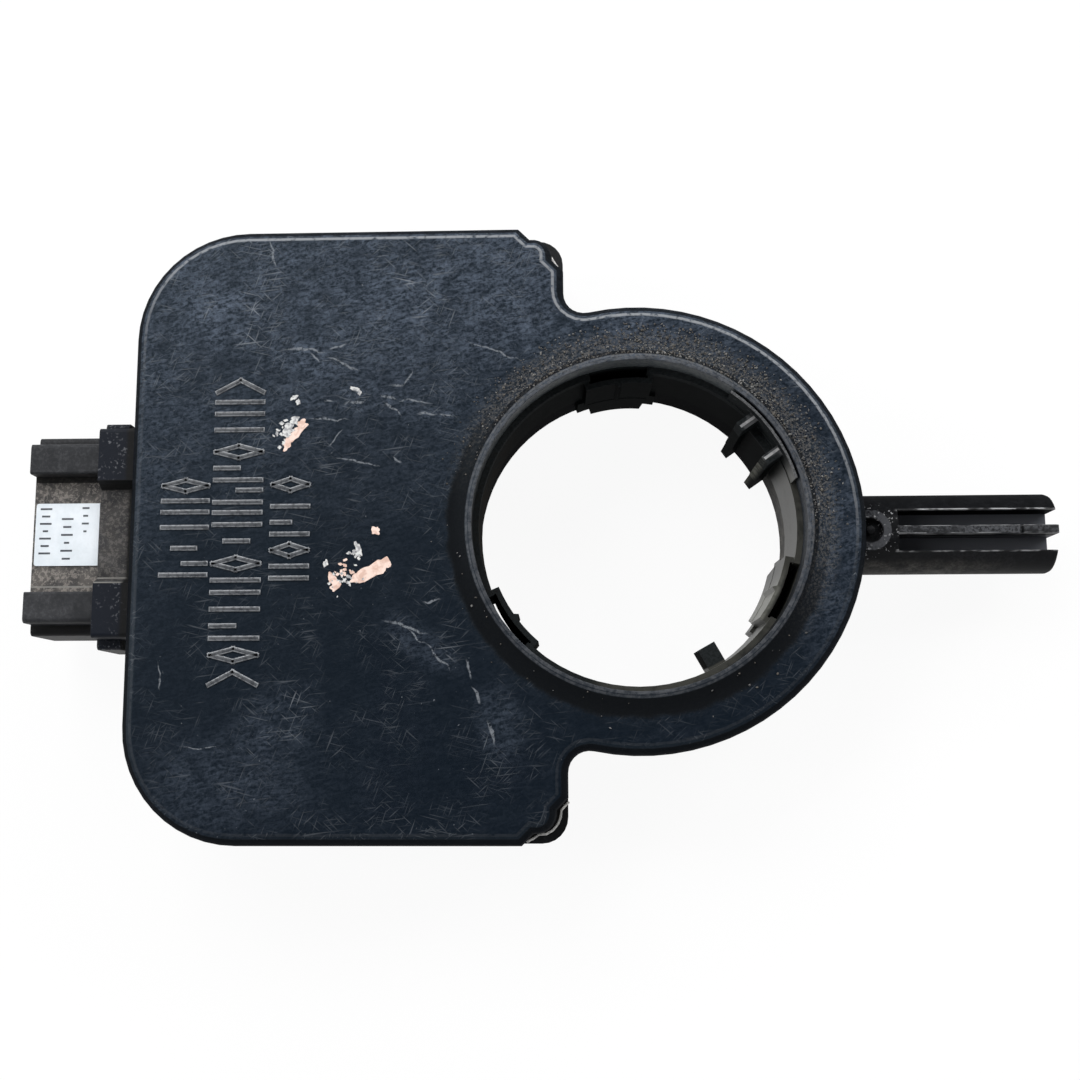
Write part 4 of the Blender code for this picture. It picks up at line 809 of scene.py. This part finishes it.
# loose grit round the lip, most of it at the upper right
grit = {
    # name, how many, finish, seed
    "kinds": [("brown", 620, "grit", 5), ("grey", 760, "greyGrit", 8)],
    "near": 21.25, "far": 25.4, "outward": 1.5,
    # the lip's outer slope: radius of its foot, width and rise
    "flank": (22.9, 1.9, 1.3),
    # angle where it gathers, how fast it thins out from there, and what is left elsewhere
    "gather": math.radians(62), "narrow": 0.85, "thinning": 1.5, "elsewhere": 0.02,
    # radius, share and growth of the few larger ones, stretch in length and width, height
    "size": (0.045, 0.15), "largeShare": 0.06, "large": 1.5,
    "long": (0.6, 1.5), "wide": (0.6, 1.2), "high": 0.7, "lift": 0.45}
for name, count, kind, seed in grit["kinds"]:
    rolls = random.Random(seed)
    shape = bmesh.new()
    while count:
        angle = rolls.uniform(0, 2 * math.pi)
        radius = grit["near"] + (grit["far"] - grit["near"]) * rolls.random() ** grit["outward"]
        gathered = max(0.0, math.cos((angle - grit["gather"]) * grit["narrow"])) ** grit["thinning"]
        if rolls.random() > grit["elsewhere"] + (1 - grit["elsewhere"]) * gathered:
            continue
        foot, width, rise = grit["flank"]
        slope = max(0.0, foot - radius) / width * rise
        size = rolls.uniform(*grit["size"]) * (grit["large"] if rolls.random() < grit["largeShare"] else 1.0)
        verts = bmesh.ops.create_icosphere(shape, subdivisions=1, radius=size * mm)["verts"]
        bmesh.ops.scale(shape, verts=verts,
                        vec=(rolls.uniform(*grit["long"]), rolls.uniform(*grit["wide"]), grit["high"]))
        turn(shape, verts, rolls.uniform(0, 3.1))
        place = spot(radius * math.cos(angle), radius * math.sin(angle), slope + size * grit["lift"])
        bmesh.ops.translate(shape, verts=verts, vec=place)
        count -= 1
    addPiece(f"grit_{name}", shape, finish[kind])

# painted highlight: a pale line at the foot of the cover, at its two right-hand corners
seamHighlightLine = {"thick": 0.15, "level": -5.9,
            "lower": [(-13.9, -38.2), (-13.0, -37.7), (-12.4, -37.3), (-11.5, -37.25), (-10.7, -36.8),
                      (-10.05, -36.0), (-9.75, -35.2), (-9.65, -34.4), (-9.2, -33.9), (-8.7, -33.4)],
            "upper": [(-11.0, 37.2), (-10.7, 36.9), (-10.4, 36.3), (-9.95, 35.5), (-9.5, 34.8)]}
for side in ("lower", "upper"):
    path = bpy.data.curves.new(f"seam_{side}", "CURVE")
    path.dimensions, path.bevel_depth, path.bevel_resolution = "3D", seamHighlightLine["thick"] * mm, 3
    path.use_fill_caps = True
    run = path.splines.new("POLY")
    run.points.add(len(seamHighlightLine[side]) - 1)
    for point, (x, y) in zip(run.points, seamHighlightLine[side]):
        point.co = (*spot(x, y, seamHighlightLine["level"]), 1.0)
    drawn = bpy.data.objects.new(f"seam_{side}", path)
    addMesh(f"seam_highlight_{side}", bpy.data.meshes.new_from_object(drawn), finish["seamHighlight"], smooth=60)
    bpy.data.objects.remove(drawn)
print("flakes, grit and seam done")

# floor, light and camera, in metres
stage = {"floor": 0.93, "floorRoughness": 0.9, "floorHalf": 1.5, "gap": 0.0001, "glow": 0.93,
         "air": rgb(0.96, 0.98, 1.0), "worldLevel": 0.20, "ceiling": (0.55, 0.30)}
shape = bmesh.new()
bmesh.ops.create_grid(shape, x_segments=1, y_segments=1, size=stage["floorHalf"])
mesh = bpy.data.meshes.new("floor")
shape.to_mesh(mesh)
shape.free()
floor = bpy.data.objects.new("floor", mesh)
floor.location.z = cadBox[0][2] - stage["gap"]
bpy.context.scene.collection.objects.link(floor)
ground = Surface("floor_white", stage["floorRoughness"])
ground.set(Base_Color=rgb(*(stage["floor"],) * 3), Specular_IOR_Level=0.0)
mesh.materials.append(ground.material)


def seenWhite(tree):    # 1 for rays that show the background
    rays = Wire(tree).node("ShaderNodeLightPath").socket.node
    camera, glossy, through = (Wire(tree, rays.outputs[name]) for name in
                               ("Is Camera Ray", "Is Glossy Ray", "Is Transmission Ray"))
    return camera.largest(glossy).largest(through)


glow = ground.start.node("ShaderNodeEmission", sockets={"Color": rgb(1, 1, 1), "Strength": 1.0})
lit = ground.start.node("ShaderNodeMixShader", sockets={
    0: seenWhite(ground.tree) * stage["glow"], 1: Wire(ground.tree, ground.shader.outputs[0]), 2: glow})
ground.tree.links.new(lit.socket, ground.tree.nodes["Material Output"].inputs["Surface"])

lamps = {    # place, width, height, power
    "softbox_upper_left": ((-0.30, 0.50, 0.62), 0.50, 0.36, 4.6),
    "strip_left": ((-0.70, 0.05, 0.46), 0.16, 0.60, 2.6),
    "strip_top": ((0.05, 0.72, 0.42), 0.70, 0.16, 2.6),
    "strip_upper_right": ((0.58, 0.46, 0.48), 0.40, 0.18, 3.0),
    "fill_front": ((0.10, -0.70, 0.50), 0.60, 0.25, 1.2)}
for name, (place, width, height, power) in lamps.items():
    light = bpy.data.lights.new(name, "AREA")
    light.shape, light.size, light.size_y, light.energy = "RECTANGLE", width, height, power
    lamp = bpy.data.objects.new(name, light)
    lamp.location = place
    lamp.rotation_euler = (-Vector(place)).to_track_quat("-Z", "Y").to_euler()
    bpy.context.scene.collection.objects.link(lamp)

world = bpy.data.worlds.new("studio")
bpy.context.scene.world = world
world.use_nodes = True
background = world.node_tree.nodes["Background"]
background.inputs["Color"].default_value = stage["air"]
air = Wire(world.node_tree)
upward = air.node("ShaderNodeSeparateXYZ", sockets={0: air.node("ShaderNodeTexCoord")}, out=2)
white = seenWhite(world.node_tree) * upward.step(*stage["ceiling"])    # a white studio with a dim ceiling
world.node_tree.links.new((white * (1 - stage["worldLevel"]) + stage["worldLevel"]).socket,
                          background.inputs["Strength"])

view = {    # place in millimetres, turn, focal length, middle and width of the picture in pixels
    "place": (-10.33, -26.32, 169.58), "turn": (0.1677, 0.0382, -0.0024),
    "focal": 1405.0, "middle": (500.75, 505.25), "picture": 1080, "sensor": 36.0, "nearest": 0.01}
lens = bpy.data.cameras.new("camera")
lens.sensor_width = view["sensor"]
lens.lens = view["focal"] / view["picture"] * view["sensor"]
lens.shift_x = (view["picture"] / 2 - view["middle"][0]) / view["picture"]
lens.shift_y = (view["middle"][1] - view["picture"] / 2) / view["picture"]
lens.clip_start = view["nearest"]
camera = bpy.data.objects.new("camera", lens)
camera.location = spot(*view["place"])
camera.rotation_euler = view["turn"]
bpy.context.scene.collection.objects.link(camera)
bpy.context.scene.camera = camera
bpy.context.scene.view_settings.view_transform = "Standard"
print("stage ready")

bpy.context.view_layer.update()
